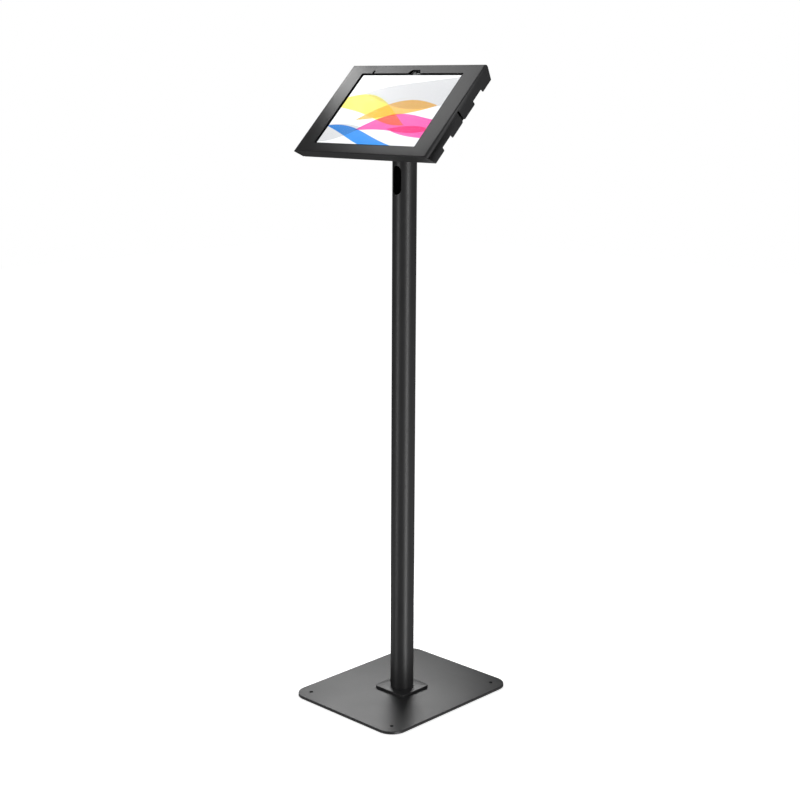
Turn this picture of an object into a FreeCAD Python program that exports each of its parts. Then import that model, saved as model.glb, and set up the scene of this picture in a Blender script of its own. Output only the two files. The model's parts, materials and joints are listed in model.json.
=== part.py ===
import FreeCAD, Part
import math
import os

# Floor stand with a locking tablet enclosure. Millimetres, +Z up, the screen faces -Y.
# The origin is the middle of the stand's footprint, on the floor; the pole stands on the Z axis.
# The head is drawn level in its own frame and tilted last: x across, y up the screen,
# z out of the screen, with z = 0 on the tilt bolt. A depth is measured back from the face.

V = FreeCAD.Vector

# Fits and clearances
SEAT_FIT = 0.05
RUNNING_FIT = 0.06
SIDE_PLAY = 0.1
SMALL_GAP = 0.3

# Base plate
BASE_WIDTH = 255.0
BASE_DEPTH = 312.4
BASE_THICKNESS = 5.0
BASE_CORNER_R = 30.0
BASE_EDGE_R = 0.8
FLOOR_HOLE_INSET = 25.2
FLOOR_HOLE_R = 3.5
PAD_THICKNESS = 1.0
PAD_R = 14.0
PAD_INSET = 46.0

# Pole foot
FLANGE_SIZE = 71.0
FLANGE_THICKNESS = 4.5
FLANGE_CORNER_R = 7.0
FLANGE_EDGE_R = 0.6
FLANGE_SCREW_SPACING = 52.0
FLANGE_SCREW_R = 3.0
FLANGE_SCREW_HEAD_R = 6.0
FLANGE_SCREW_HEAD_HEIGHT = 3.2
FLANGE_SCREW_GRIP = 3.5
BASE_SCREW_CLEARANCE = 0.3

# Pole
POLE_R = 21.0
POLE_WALL = 2.0
POLE_LENGTH = 976.0
CABLE_SLOT_WIDTH = 19.6
CABLE_SLOT_HEIGHT = 48.5
CABLE_SLOT_BELOW_TOP = 55.1
EXIT_SLOT_WIDTH = 16.0
EXIT_SLOT_HEIGHT = 32.0
EXIT_SLOT_ABOVE_FLANGE = 36.0

# Pole plug
PLUG_LENGTH = 28.0
PLUG_CAP_THICKNESS = 3.0
PLUG_CAP_EDGE_R = 0.8
SET_SCREW_R = 3.0
SET_SCREW_LENGTH = 8.0
SET_SCREW_RECESS = 0.4
SET_SCREW_BELOW_TOP = 12.0
SET_SCREW_ANGLES = (50.0, 130.0)

# Tilt fork on the pole
FORK_BASE_THICKNESS = 4.0
FORK_DEPTH = 26.0
FORK_BEND_R = 2.5
CHEEK_THICKNESS = 4.0
PIVOT_ABOVE_FORK_BASE = 14.0
FORK_SCREW_R = 4.0
FORK_SCREW_HEAD_R = 7.5
FORK_SCREW_HEAD_HEIGHT = 3.6
FORK_SCREW_LENGTH = 22.0
FORK_PIN_R = 1.5
FORK_PIN_SPACING = 20.0
FORK_PIN_LENGTH = 10.0

# Tilt bolt
TILT_BOLT_R = 4.0
TILT_BOLT_HEAD_ACROSS = 13.0
TILT_BOLT_HEAD_HEIGHT = 5.3
TILT_NUT_HEIGHT = 8.0
TILT_BOLT_END = 1.5
WASHER_R = 8.0
WASHER_THICKNESS = 1.6
FRICTION_WASHER_R = 10.0
FRICTION_WASHER_THICKNESS = 1.0
TILT_SLEEVE_R = 6.5

# Tilting yoke and turning disc
TILT_REST = 45.0
EAR_GAP = 18.0
EAR_THICKNESS = 4.0
EAR_R = 12.0
YOKE_WEB_THICKNESS = 4.0
YOKE_WEB_HALF_HEIGHT = 16.0
DISC_R = 38.0
DISC_THICKNESS = 3.0
DISC_RIVET_R = 2.0
DISC_RIVET_HEAD_R = 3.2
DISC_RIVET_HEAD_HEIGHT = 1.5
DISC_RIVET_X = 5.2
DISC_RIVET_Y = 11.8
TURN_WASHER_R = 25.0
TURN_WASHER_THICKNESS = 0.8
STOP_PIN_R = 3.0
STOP_PIN_RADIUS = 30.0
STOP_SLOT_HALF_ANGLE = 45.0
STOP_SLOT_CLEARANCE = 0.2

# Enclosure mounting plate and its pivot stud
PLATE_SCREW_EDGE = 7.5
PLATE_THICKNESS = 3.0
PLATE_CORNER_R = 10.0
PLATE_SCREW_SPACING = 100.0
PLATE_SCREW_R = 2.0
PLATE_SCREW_HEAD_R = 3.6
PLATE_SCREW_HEAD_HEIGHT = 2.2
PLATE_SCREW_END = 0.7
STUD_R = 4.0
STUD_HEAD_R = 11.0
STUD_HEAD_THICKNESS = 1.5
SPRING_WASHER_THICKNESS = 2.0
STUD_NUT_ACROSS = 13.0
STUD_NUT_HEIGHT = 6.5
STUD_END = 1.2

# Front cover, a folded sheet
COVER_SIDE_ROOM = 30.7
COVER_END_ROOM = 12.25
COVER_DEPTH = 25.0
COVER_SHEET = 1.5
COVER_SLOPE = 22.0
SIDE_BEND_R = 5.5
LONG_BEND_R = 1.8
FACE_FROM_PIVOT = 60.7
CORNER_RELIEF_START = 6.5
CORNER_RELIEF_FRONT = 7.5
CORNER_RELIEF_REAR = 2.2
WINDOW_MARGIN_X = 3.7
WINDOW_MARGIN_Y = 2.9
WINDOW_CORNER_R = 1.5
CAMERA_NOTCH_X = 6.5
CAMERA_NOTCH_BASE = 29.0
CAMERA_NOTCH_TOP = 18.0
CAMERA_NOTCH_HEIGHT = 7.6
SENSOR_SLIT_X = -91.0
SENSOR_SLIT_WIDTH = 3.6
SENSOR_SLIT_HEIGHT = 6.8
SOUND_NOTCH_CENTRE = 50.5
SOUND_NOTCH_LENGTH = 27.0
SOUND_NOTCH_DEPTH = 6.5
SOUND_NOTCH_MOUTH_R = 1.8
SIDE_SLOT_WIDTH = 4.6
SIDE_SLOT_START = 3.8
SIDE_SLOT_MOUTH_R = 3.0

# Tablet
TABLET_THICKNESS = 7.0
TABLET_CORNER_R = 18.0
TABLET_EDGE_R = 1.2
TABLET_WALL = 0.9
GLASS_BELOW_FACE = 1.6
GLASS_THICKNESS = 0.6
GLASS_INSET = 1.2
DISPLAY_LENGTH = 227.06
DISPLAY_HEIGHT = 157.79
DISPLAY_THICKNESS = 0.4
DISPLAY_BORDER_X = 10.77
DISPLAY_BORDER_Y = 10.855
BATTERY_LENGTH = 150.0
BATTERY_HEIGHT = 120.0
BATTERY_THICKNESS = 3.2
BOARD_LENGTH = 60.0
BOARD_HEIGHT = 110.0
BOARD_THICKNESS = 2.0
BOARD_GAP = 6.0
FRONT_CAMERA_R = 1.7
REAR_CAMERA_R = 5.5
REAR_CAMERA_PROUD = 0.8
REAR_CAMERA_INSET_X = 14.0
REAR_CAMERA_INSET_Y = 14.0
PORT_WIDTH = 8.6
PORT_HEIGHT = 2.8
PORT_DEPTH = 6.0
PORT_WALL = 0.4
BUTTON_LENGTH = 10.0
BUTTON_HEIGHT = 2.2
BUTTON_PROUD = 0.4
BUTTON_TRAVEL = 0.3
BUTTON_SEAT_DEPTH = 1.6
POWER_BUTTON_Y = 36.0
VOLUME_BUTTON_X = -92.0
VOLUME_BUTTON_PITCH = 13.0

# Rear tray
TRAY_SHEET = 1.5
TRAY_DEPTH = 18.0
TRAY_LIP_DEPTH = 24.0
TRAY_EDGE_CLEARANCE = 0.5
TRAY_SIDE_CLEARANCE = 0.6
TRAY_LIP_END = 11.0
SLOT_GUARD_LENGTH = 24.0
REST_X = 90.0
REST_Y = 60.0
REST_LENGTH = 24.0
REST_HEIGHT = 18.0
REST_EDGE_R = 2.0
RETAINER_Y = 60.0
RETAINER_LENGTH = 22.0
RETAINER_SHEET = 1.5
RETAINER_FOOT = 13.0
RETAINER_TOP_DEPTH = 3.2
RIVET_R = 1.6
RIVET_HEAD_R = 3.0
RIVET_HEAD_HEIGHT = 1.0
CABLE_HOLE_RISE = 0.6392
CABLE_HOLE_LENGTH = 36.0
CABLE_HOLE_HEIGHT = 18.0
GROMMET_WALL = 1.6
GROMMET_LIP = 2.2
GROMMET_LIP_THICKNESS = 1.4

# Cover hinge
HINGE_R = 2.5
HINGE_PIN_R = 1.3
HINGE_PIN_HEAD_R = 2.0
HINGE_PIN_HEAD_LENGTH = 1.2
HINGE_LEAF = 1.3
HINGE_LENGTH = 66.0
HINGE_KNUCKLES = 5
HINGE_TRAY_LEAF_WIDTH = 9.0
HINGE_COVER_LEAF_DEPTH = 5.5
HINGE_KNUCKLE_GAP = 0.3

# Lock
LOCK_FROM_SIDE = 18.0
LOCK_Y = 30.0
LOCK_BARREL_R = 7.95
LOCK_FLANGE_R = 10.5
LOCK_FLANGE_THICKNESS = 2.5
LOCK_BARREL_INSIDE = 4.0
LOCK_NUT_ACROSS = 20.0
LOCK_NUT_THICKNESS = 2.0
LOCK_PLUG_R = 5.5
KEYWAY_WIDTH = 1.6
KEYWAY_LENGTH = 7.0
KEYWAY_DEPTH = 3.0
CAM_THICKNESS = 1.5
CAM_R = 6.3
CAM_REACH = 13.5
CAM_WIDTH = 11.0
CAM_SCREW_R = 1.5
CAM_SCREW_HEAD_R = 3.2
CAM_SCREW_HEAD_HEIGHT = 1.6
CATCH_SHEET = 1.5
CATCH_REACH = 8.0
CATCH_LENGTH = 18.0
CATCH_LEAF_DEPTH = 5.0
FOAM_LENGTH = 200.0
FOAM_DEPTH = 7.0
FOAM_OFF_TABLET = 0.85
FOAM_HEIGHT = 4.3

# Sizes and places worked out from the ones above
tablet_length = DISPLAY_LENGTH + 2 * DISPLAY_BORDER_X
tablet_height = DISPLAY_HEIGHT + 2 * DISPLAY_BORDER_Y
cover_width = tablet_length + 2 * COVER_SIDE_ROOM
cover_height = tablet_height + 2 * COVER_END_ROOM
base_top = PAD_THICKNESS + BASE_THICKNESS
flange_top = base_top + FLANGE_THICKNESS
pole_top = base_top + POLE_LENGTH
fork_bottom = pole_top + PLUG_CAP_THICKNESS
fork_floor = fork_bottom + FORK_BASE_THICKNESS
pivot_height = fork_floor + PIVOT_ABOVE_FORK_BASE
ear_inner = EAR_GAP / 2
ear_outer = ear_inner + EAR_THICKNESS
cheek_inner = ear_outer + FRICTION_WASHER_THICKNESS + 2 * SIDE_PLAY
cheek_outer = cheek_inner + CHEEK_THICKNESS
face_z = FACE_FROM_PIVOT
cover_rear_z = face_z - COVER_DEPTH
cover_inner_x = cover_width / 2 - COVER_SHEET
slope = math.tan(math.radians(COVER_SLOPE))
wall_across = COVER_SHEET / math.cos(math.radians(COVER_SLOPE))
cover_rear_y = cover_height / 2 - COVER_DEPTH * slope
tray_back_z = face_z - TRAY_DEPTH
tray_front_z = tray_back_z + TRAY_SHEET
tray_half_y = cover_rear_y - wall_across - TRAY_EDGE_CLEARANCE
plate_size = PLATE_SCREW_SPACING + 2 * PLATE_SCREW_EDGE
cable_hole_y = CABLE_HOLE_RISE - (plate_size / 2 + tray_half_y) / 2
plate_back_z = tray_back_z - PLATE_THICKNESS
turn_washer_z = plate_back_z - SIDE_PLAY - TURN_WASHER_THICKNESS
disc_back_z = turn_washer_z - DISC_THICKNESS
web_back_z = disc_back_z - YOKE_WEB_THICKNESS
glass_z = face_z - GLASS_BELOW_FACE
tablet_back_z = glass_z - TABLET_THICKNESS
hinge_x = -(cover_inner_x - SMALL_GAP - HINGE_R)
hinge_z = tray_back_z - HINGE_R
tray_left_x = hinge_x + HINGE_R + SMALL_GAP
tray_right_x = cover_inner_x - TRAY_SIDE_CLEARANCE
lock_x = cover_width / 2 - LOCK_FROM_SIDE
lock_barrel_front_z = tray_back_z + LOCK_BARREL_INSIDE + TRAY_SHEET
cam_z = lock_barrel_front_z + 0.2


def cylinder(radius, height, base, axis=V(0, 0, 1)):
    return Part.makeCylinder(radius, height, base, axis)


def ring(outer, inner, height, base, axis=V(0, 0, 1)):
    return cylinder(outer, height, base, axis).cut(cylinder(inner, height, base, axis))


def box(low, high):
    return Part.makeBox(high[0] - low[0], high[1] - low[1], high[2] - low[2], V(*low))


def prism(points, direction):
    """A solid swept along a direction from a closed outline; a point given as a pair is an arc."""
    edges = []
    start = points[0]
    for item in points[1:] + [points[0]]:
        if isinstance(item, tuple):
            edges.append(Part.Arc(start, item[0], item[1]).toShape())
            start = item[1]
        else:
            edges.append(Part.makeLine(start, item))
            start = item
    return Part.Face(Part.Wire(edges)).extrude(direction)


def hexagon(across, height, base, axis=V(0, 0, 1)):
    corner = across / math.sqrt(3)
    points = [V(corner * math.cos(math.radians(a)), corner * math.sin(math.radians(a)), 0)
              for a in range(0, 360, 60)]
    shape = prism(points, V(0, 0, height))
    shape.Placement = FreeCAD.Placement(base, FreeCAD.Rotation(V(0, 0, 1), axis))
    return shape


def rounded_plate(size_x, size_y, corner_r, low_z, high_z):
    """A plate centred on the Z axis with its four corners rounded."""
    plate = box((-size_x / 2, -size_y / 2, low_z), (size_x / 2, size_y / 2, high_z))
    corners = [e for e in plate.Edges if abs(e.Vertexes[0].Z - e.Vertexes[-1].Z) > 1e-6]
    return plate.makeFillet(corner_r, corners)


def edges_at(shape, z):
    """The edges that lie wholly at one height."""
    return [e for e in shape.Edges if all(abs(v.Z - z) < 1e-5 for v in e.Vertexes)
            and abs(e.BoundBox.ZMax - z) < 1e-4]


def obround(length, height, depth, base, along, axis):
    """A slot-shaped solid: length runs along one direction, depth along the axis."""
    across = axis.cross(along)
    half = (length - height) / 2
    r = height / 2
    a = base - along * half
    b = base + along * half
    points = [a - across * r, b - across * r, (b + along * r, b + across * r),
              a + across * r, (a - along * r, a - across * r)]
    edges = [Part.makeLine(points[0], points[1]),
             Part.Arc(points[1], points[2][0], points[2][1]).toShape(),
             Part.makeLine(points[2][1], points[3]),
             Part.Arc(points[3], points[4][0], points[4][1]).toShape()]
    return Part.Face(Part.Wire(edges)).extrude(axis * depth)


def corners(half_x, half_y):
    return [(sx * half_x, sy * half_y) for sx in (-1, 1) for sy in (-1, 1)]


def group(shapes):
    return Part.makeCompound(shapes)


def on_head(shape):
    """Moves a shape drawn in the head's own frame to its place on the pole, tilted."""
    tilt = FreeCAD.Rotation(V(1, 0, 0), TILT_REST)
    place = FreeCAD.Placement(V(0, 0, pivot_height), tilt)
    moved = shape.copy()
    moved.Placement = place.multiply(shape.Placement)
    return moved


# Base, flange and pole

def floor_holes():
    return corners(BASE_WIDTH / 2 - FLOOR_HOLE_INSET, BASE_DEPTH / 2 - FLOOR_HOLE_INSET)


def countersunk_screw(radius, head_r, head_height, length, base, up=V(0, 0, 1)):
    """A flat-headed socket screw; base is the middle of its head's flat, up runs to its tip."""
    head = Part.makeCone(head_r, radius, head_height, base, up)
    socket = hexagon(radius * 1.1, head_height * 0.7, base, up)
    return head.fuse(cylinder(radius, length, base, up)).cut(socket).removeSplitter()


def base_plate():
    plate = rounded_plate(BASE_WIDTH, BASE_DEPTH, BASE_CORNER_R, PAD_THICKNESS, base_top)
    plate = plate.makeFillet(BASE_EDGE_R, edges_at(plate, base_top))
    for x, y in floor_holes():
        plate = plate.cut(cylinder(FLOOR_HOLE_R, BASE_THICKNESS, V(x, y, PAD_THICKNESS)))
    for x, y in corners(FLANGE_SCREW_SPACING / 2, FLANGE_SCREW_SPACING / 2):
        base = V(x, y, PAD_THICKNESS)
        sink = Part.makeCone(FLANGE_SCREW_HEAD_R + SEAT_FIT, FLANGE_SCREW_R + SEAT_FIT,
                             FLANGE_SCREW_HEAD_HEIGHT, base)
        hole = cylinder(FLANGE_SCREW_R + BASE_SCREW_CLEARANCE, BASE_THICKNESS, base)
        plate = plate.cut(sink.fuse(hole))
    return plate


def base_pads():
    places = corners(BASE_WIDTH / 2 - PAD_INSET, BASE_DEPTH / 2 - PAD_INSET)
    return group([cylinder(PAD_R, PAD_THICKNESS, V(x, y, 0)) for x, y in places])


def flange_screws():
    length = BASE_THICKNESS + FLANGE_SCREW_GRIP
    places = corners(FLANGE_SCREW_SPACING / 2, FLANGE_SCREW_SPACING / 2)
    return group([countersunk_screw(FLANGE_SCREW_R, FLANGE_SCREW_HEAD_R, FLANGE_SCREW_HEAD_HEIGHT,
                                    length, V(x, y, PAD_THICKNESS)) for x, y in places])


def pole_flange():
    flange = rounded_plate(FLANGE_SIZE, FLANGE_SIZE, FLANGE_CORNER_R, base_top, flange_top)
    flange = flange.makeFillet(FLANGE_EDGE_R, edges_at(flange, flange_top))
    flange = flange.cut(cylinder(POLE_R + SEAT_FIT, FLANGE_THICKNESS, V(0, 0, base_top)))
    for x, y in corners(FLANGE_SCREW_SPACING / 2, FLANGE_SCREW_SPACING / 2):
        hole = cylinder(FLANGE_SCREW_R + SEAT_FIT, FLANGE_SCREW_GRIP, V(x, y, base_top))
        flange = flange.cut(hole)
    return flange


def set_screw_axis(angle):
    return V(math.cos(math.radians(angle)), math.sin(math.radians(angle)), 0)


def set_screw_height():
    return pole_top - SET_SCREW_BELOW_TOP


def pole_tube():
    tube = ring(POLE_R, POLE_R - POLE_WALL, POLE_LENGTH, V(0, 0, base_top))
    slot_z = pole_top - CABLE_SLOT_BELOW_TOP
    front_slot = obround(CABLE_SLOT_HEIGHT, CABLE_SLOT_WIDTH, POLE_R + 1, V(0, 0, slot_z),
                         V(0, 0, 1), V(0, -1, 0))
    exit_z = flange_top + EXIT_SLOT_ABOVE_FLANGE
    rear_slot = obround(EXIT_SLOT_HEIGHT, EXIT_SLOT_WIDTH, POLE_R + 1, V(0, 0, exit_z),
                        V(0, 0, 1), V(0, 1, 0))
    tube = tube.cut(front_slot).cut(rear_slot)
    for angle in SET_SCREW_ANGLES:
        hole = cylinder(SET_SCREW_R, POLE_R + 1, V(0, 0, set_screw_height()), set_screw_axis(angle))
        tube = tube.cut(hole)
    return tube


def pole_plug():
    body = cylinder(POLE_R - POLE_WALL - SEAT_FIT, PLUG_LENGTH, V(0, 0, pole_top - PLUG_LENGTH))
    cap = cylinder(POLE_R, PLUG_CAP_THICKNESS, V(0, 0, pole_top))
    cap = cap.makeFillet(PLUG_CAP_EDGE_R, edges_at(cap, fork_bottom))
    plug = body.fuse(cap).removeSplitter()
    depth = FORK_SCREW_LENGTH - FORK_BASE_THICKNESS + 1.0
    plug = plug.cut(cylinder(FORK_SCREW_R + SEAT_FIT, depth, V(0, 0, fork_bottom), V(0, 0, -1)))
    for x in (-FORK_PIN_SPACING / 2, FORK_PIN_SPACING / 2):
        depth = FORK_PIN_LENGTH - FORK_BASE_THICKNESS
        plug = plug.cut(cylinder(FORK_PIN_R + SEAT_FIT, depth, V(x, 0, fork_bottom), V(0, 0, -1)))
    for angle in SET_SCREW_ANGLES:
        axis = set_screw_axis(angle)
        start = POLE_R - SET_SCREW_RECESS - SET_SCREW_LENGTH
        base = axis * start + V(0, 0, set_screw_height())
        plug = plug.cut(cylinder(SET_SCREW_R, SET_SCREW_LENGTH, base, axis))
    return plug


def plug_set_screws():
    screws = []
    for angle in SET_SCREW_ANGLES:
        axis = set_screw_axis(angle)
        tip = axis * (POLE_R - SET_SCREW_RECESS - SET_SCREW_LENGTH) + V(0, 0, set_screw_height())
        screw = cylinder(SET_SCREW_R - SEAT_FIT, SET_SCREW_LENGTH, tip, axis)
        socket = hexagon(SET_SCREW_R, SET_SCREW_LENGTH * 0.4, tip + axis * SET_SCREW_LENGTH, axis * -1)
        screws.append(screw.cut(socket))
    return group(screws)


# Tilt joint

def head_fork():
    """A bent bracket: a floor on the plug and two cheeks that hold the tilt bolt."""
    radius = FORK_DEPTH / 2
    floor = box((-cheek_outer, -radius, fork_bottom), (cheek_outer, radius, fork_floor))
    fork = floor
    for side in (-1, 1):
        low = side * cheek_inner if side > 0 else side * cheek_outer
        cheek = box((low, -radius, fork_bottom), (low + CHEEK_THICKNESS, radius, pivot_height))
        top = cylinder(radius, CHEEK_THICKNESS, V(low, 0, pivot_height), V(1, 0, 0))
        fork = fork.fuse(cheek).fuse(top)
    fork = fork.removeSplitter()
    bends = [e for e in fork.Edges if abs(e.BoundBox.ZMax - fork_bottom) < 1e-5
             and e.BoundBox.YLength > FORK_DEPTH - 1e-3]
    fork = fork.makeFillet(FORK_BEND_R, bends)
    fork = fork.cut(cylinder(TILT_BOLT_R + SEAT_FIT, 2 * cheek_outer,
                             V(-cheek_outer, 0, pivot_height), V(1, 0, 0)))
    sink = Part.makeCone(FORK_SCREW_R + SEAT_FIT, FORK_SCREW_HEAD_R + SEAT_FIT,
                         FORK_SCREW_HEAD_HEIGHT, V(0, 0, fork_floor - FORK_SCREW_HEAD_HEIGHT))
    fork = fork.cut(sink)
    fork = fork.cut(cylinder(FORK_SCREW_R + SEAT_FIT, FORK_BASE_THICKNESS, V(0, 0, fork_bottom)))
    for x in (-FORK_PIN_SPACING / 2, FORK_PIN_SPACING / 2):
        fork = fork.cut(cylinder(FORK_PIN_R + SEAT_FIT, FORK_BASE_THICKNESS, V(x, 0, fork_bottom)))
    return fork


def fork_screw():
    return countersunk_screw(FORK_SCREW_R, FORK_SCREW_HEAD_R, FORK_SCREW_HEAD_HEIGHT,
                             FORK_SCREW_LENGTH, V(0, 0, fork_floor), V(0, 0, -1))


def fork_pins():
    return group([cylinder(FORK_PIN_R, FORK_PIN_LENGTH, V(x, 0, fork_floor), V(0, 0, -1))
                  for x in (-FORK_PIN_SPACING / 2, FORK_PIN_SPACING / 2)])


def tilt_bolt():
    head_x = cheek_outer + WASHER_THICKNESS
    length = 2 * head_x + TILT_NUT_HEIGHT + TILT_BOLT_END
    shank = cylinder(TILT_BOLT_R, length, V(head_x, 0, pivot_height), V(-1, 0, 0))
    head = hexagon(TILT_BOLT_HEAD_ACROSS, TILT_BOLT_HEAD_HEIGHT, V(head_x, 0, pivot_height), V(1, 0, 0))
    return shank.fuse(head).removeSplitter()


def tilt_nut():
    start = V(-cheek_outer - WASHER_THICKNESS, 0, pivot_height)
    nut = hexagon(TILT_BOLT_HEAD_ACROSS, TILT_NUT_HEIGHT, start, V(-1, 0, 0))
    return nut.cut(cylinder(TILT_BOLT_R + SEAT_FIT, TILT_NUT_HEIGHT, start, V(-1, 0, 0)))


def tilt_washers():
    shapes = [ring(WASHER_R, TILT_BOLT_R + SEAT_FIT, WASHER_THICKNESS,
                   V(side * cheek_outer, 0, pivot_height), V(side, 0, 0)) for side in (-1, 1)]
    return group(shapes)


def friction_washers():
    shapes = [ring(FRICTION_WASHER_R, TILT_BOLT_R + RUNNING_FIT, FRICTION_WASHER_THICKNESS,
                   V(side * (ear_outer + SIDE_PLAY), 0, 0), V(side, 0, 0)) for side in (-1, 1)]
    return group(shapes)


def tilt_sleeve():
    return ring(TILT_SLEEVE_R, TILT_BOLT_R + RUNNING_FIT, EAR_GAP, V(-ear_inner, 0, 0), V(1, 0, 0))


def tilt_yoke():
    """Two ears on the tilt bolt and the web that carries the turning disc."""
    yoke = box((-ear_outer, -YOKE_WEB_HALF_HEIGHT, web_back_z),
               (ear_outer, YOKE_WEB_HALF_HEIGHT, disc_back_z))
    for low in (-ear_outer, ear_inner):
        outline = [V(low, -EAR_R, 0), V(low, EAR_R, 0), V(low, YOKE_WEB_HALF_HEIGHT, web_back_z),
                   V(low, YOKE_WEB_HALF_HEIGHT, disc_back_z), V(low, -YOKE_WEB_HALF_HEIGHT, disc_back_z),
                   V(low, -YOKE_WEB_HALF_HEIGHT, web_back_z)]
        ear = prism(outline, V(EAR_THICKNESS, 0, 0))
        yoke = yoke.fuse(ear).fuse(cylinder(EAR_R, EAR_THICKNESS, V(low, 0, 0), V(1, 0, 0)))
    yoke = yoke.removeSplitter()
    yoke = yoke.cut(cylinder(TILT_BOLT_R + RUNNING_FIT, 2 * ear_outer, V(-ear_outer, 0, 0), V(1, 0, 0)))
    yoke = yoke.cut(cylinder(STUD_R + RUNNING_FIT, YOKE_WEB_THICKNESS, V(0, 0, web_back_z)))
    for x, y in corners(DISC_RIVET_X, DISC_RIVET_Y):
        yoke = yoke.cut(cylinder(DISC_RIVET_R, YOKE_WEB_THICKNESS, V(x, y, web_back_z)))
    return yoke


def stop_pin_place():
    angle = math.radians(STOP_SLOT_HALF_ANGLE)
    return V(STOP_PIN_RADIUS * math.cos(angle), STOP_PIN_RADIUS * math.sin(angle), disc_back_z)


def turn_disc():
    disc = ring(DISC_R, STUD_R + RUNNING_FIT, DISC_THICKNESS, V(0, 0, disc_back_z))
    disc = disc.cut(cylinder(STOP_PIN_R, DISC_THICKNESS, stop_pin_place()))
    for x, y in corners(DISC_RIVET_X, DISC_RIVET_Y):
        disc = disc.cut(cylinder(DISC_RIVET_R, DISC_THICKNESS, V(x, y, disc_back_z)))
    return disc


def disc_rivets():
    """Rivets through the web and the disc, flush in front."""
    length = YOKE_WEB_THICKNESS + DISC_THICKNESS
    shapes = []
    for x, y in corners(DISC_RIVET_X, DISC_RIVET_Y):
        shank = cylinder(DISC_RIVET_R - SEAT_FIT, length, V(x, y, web_back_z))
        head = Part.makeCone(DISC_RIVET_HEAD_R, DISC_RIVET_HEAD_R * 0.6, DISC_RIVET_HEAD_HEIGHT,
                             V(x, y, web_back_z), V(0, 0, -1))
        shapes.append(shank.fuse(head).removeSplitter())
    return group(shapes)


def stop_pin():
    length = tray_back_z - disc_back_z - 2 * SMALL_GAP
    return cylinder(STOP_PIN_R - SEAT_FIT, length, stop_pin_place())


def turn_washer():
    return ring(TURN_WASHER_R, STUD_R + RUNNING_FIT, TURN_WASHER_THICKNESS, V(0, 0, turn_washer_z))


# Turning plate

def stop_slot():
    """An arc slot for the stop pin, a quarter turn long, through the mounting plate."""
    half = STOP_PIN_R + STOP_SLOT_CLEARANCE
    height = PLATE_THICKNESS
    angle = STOP_SLOT_HALF_ANGLE

    def at(radius, degrees):
        return V(radius * math.cos(math.radians(degrees)), radius * math.sin(math.radians(degrees)),
                 plate_back_z)

    outer = STOP_PIN_RADIUS + half
    inner = STOP_PIN_RADIUS - half
    points = [at(outer, -angle), (at(outer, 0), at(outer, angle)), at(inner, angle),
              (at(inner, 0), at(inner, -angle))]
    slot = prism(points, V(0, 0, height))
    for end in (-angle, angle):
        slot = slot.fuse(cylinder(half, height, at(STOP_PIN_RADIUS, end)))
    return slot.removeSplitter()


def mounting_plate():
    plate = rounded_plate(plate_size, plate_size, PLATE_CORNER_R, plate_back_z, tray_back_z)
    plate = plate.cut(stop_slot())
    plate = plate.cut(cylinder(STUD_R + SEAT_FIT, PLATE_THICKNESS, V(0, 0, plate_back_z)))
    pocket = V(0, 0, tray_back_z - STUD_HEAD_THICKNESS)
    plate = plate.cut(cylinder(STUD_HEAD_R + SEAT_FIT, STUD_HEAD_THICKNESS, pocket))
    for x, y in corners(PLATE_SCREW_SPACING / 2, PLATE_SCREW_SPACING / 2):
        plate = plate.cut(cylinder(PLATE_SCREW_R + SEAT_FIT, PLATE_THICKNESS, V(x, y, plate_back_z)))
    return plate


def stud_nut_top():
    return web_back_z - SIDE_PLAY - SPRING_WASHER_THICKNESS


def turn_stud():
    head = cylinder(STUD_HEAD_R, STUD_HEAD_THICKNESS, V(0, 0, tray_back_z - STUD_HEAD_THICKNESS))
    length = tray_back_z - stud_nut_top() + STUD_NUT_HEIGHT + STUD_END
    shank = cylinder(STUD_R, length, V(0, 0, tray_back_z), V(0, 0, -1))
    return head.fuse(shank).removeSplitter()


def stud_spring_washers():
    half = SPRING_WASHER_THICKNESS / 2
    shapes = [ring(WASHER_R, STUD_R + SEAT_FIT, half, V(0, 0, stud_nut_top() + i * half))
              for i in range(2)]
    return group(shapes)


def stud_nut():
    base = V(0, 0, stud_nut_top())
    nut = hexagon(STUD_NUT_ACROSS, STUD_NUT_HEIGHT, base, V(0, 0, -1))
    return nut.cut(cylinder(STUD_R + SEAT_FIT, STUD_NUT_HEIGHT, base, V(0, 0, -1)))


def plate_screws():
    """Screws from inside the enclosure, so that they can't be reached while it is locked."""
    length = TRAY_SHEET + PLATE_THICKNESS + PLATE_SCREW_END
    shapes = []
    for x, y in corners(PLATE_SCREW_SPACING / 2, PLATE_SCREW_SPACING / 2):
        seat = V(x, y, tray_front_z)
        head = cylinder(PLATE_SCREW_HEAD_R, PLATE_SCREW_HEAD_HEIGHT, seat)
        head = head.makeFillet(PLATE_SCREW_HEAD_HEIGHT * 0.4,
                               edges_at(head, tray_front_z + PLATE_SCREW_HEAD_HEIGHT))
        shank = cylinder(PLATE_SCREW_R, length, seat, V(0, 0, -1))
        socket = hexagon(PLATE_SCREW_R, PLATE_SCREW_HEAD_HEIGHT * 0.6,
                         seat + V(0, 0, PLATE_SCREW_HEAD_HEIGHT), V(0, 0, -1))
        shapes.append(head.fuse(shank).cut(socket).removeSplitter())
    return group(shapes)


# Rear tray and what it carries

def lock_place(z):
    return V(lock_x, LOCK_Y, z)


def retainer_places():
    return [(sx, sy * RETAINER_Y) for sx in (-1, 1) for sy in (-1, 1)]


def retainer_rivet_x():
    return tablet_length / 2 + SMALL_GAP + RETAINER_SHEET + (RETAINER_FOOT - RETAINER_SHEET) / 2


def leaf_rivet_places():
    x = tray_left_x + HINGE_TRAY_LEAF_WIDTH / 2
    return [(x, HINGE_LENGTH * f) for f in (-0.4, -0.13, 0.13, 0.4)]


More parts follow.
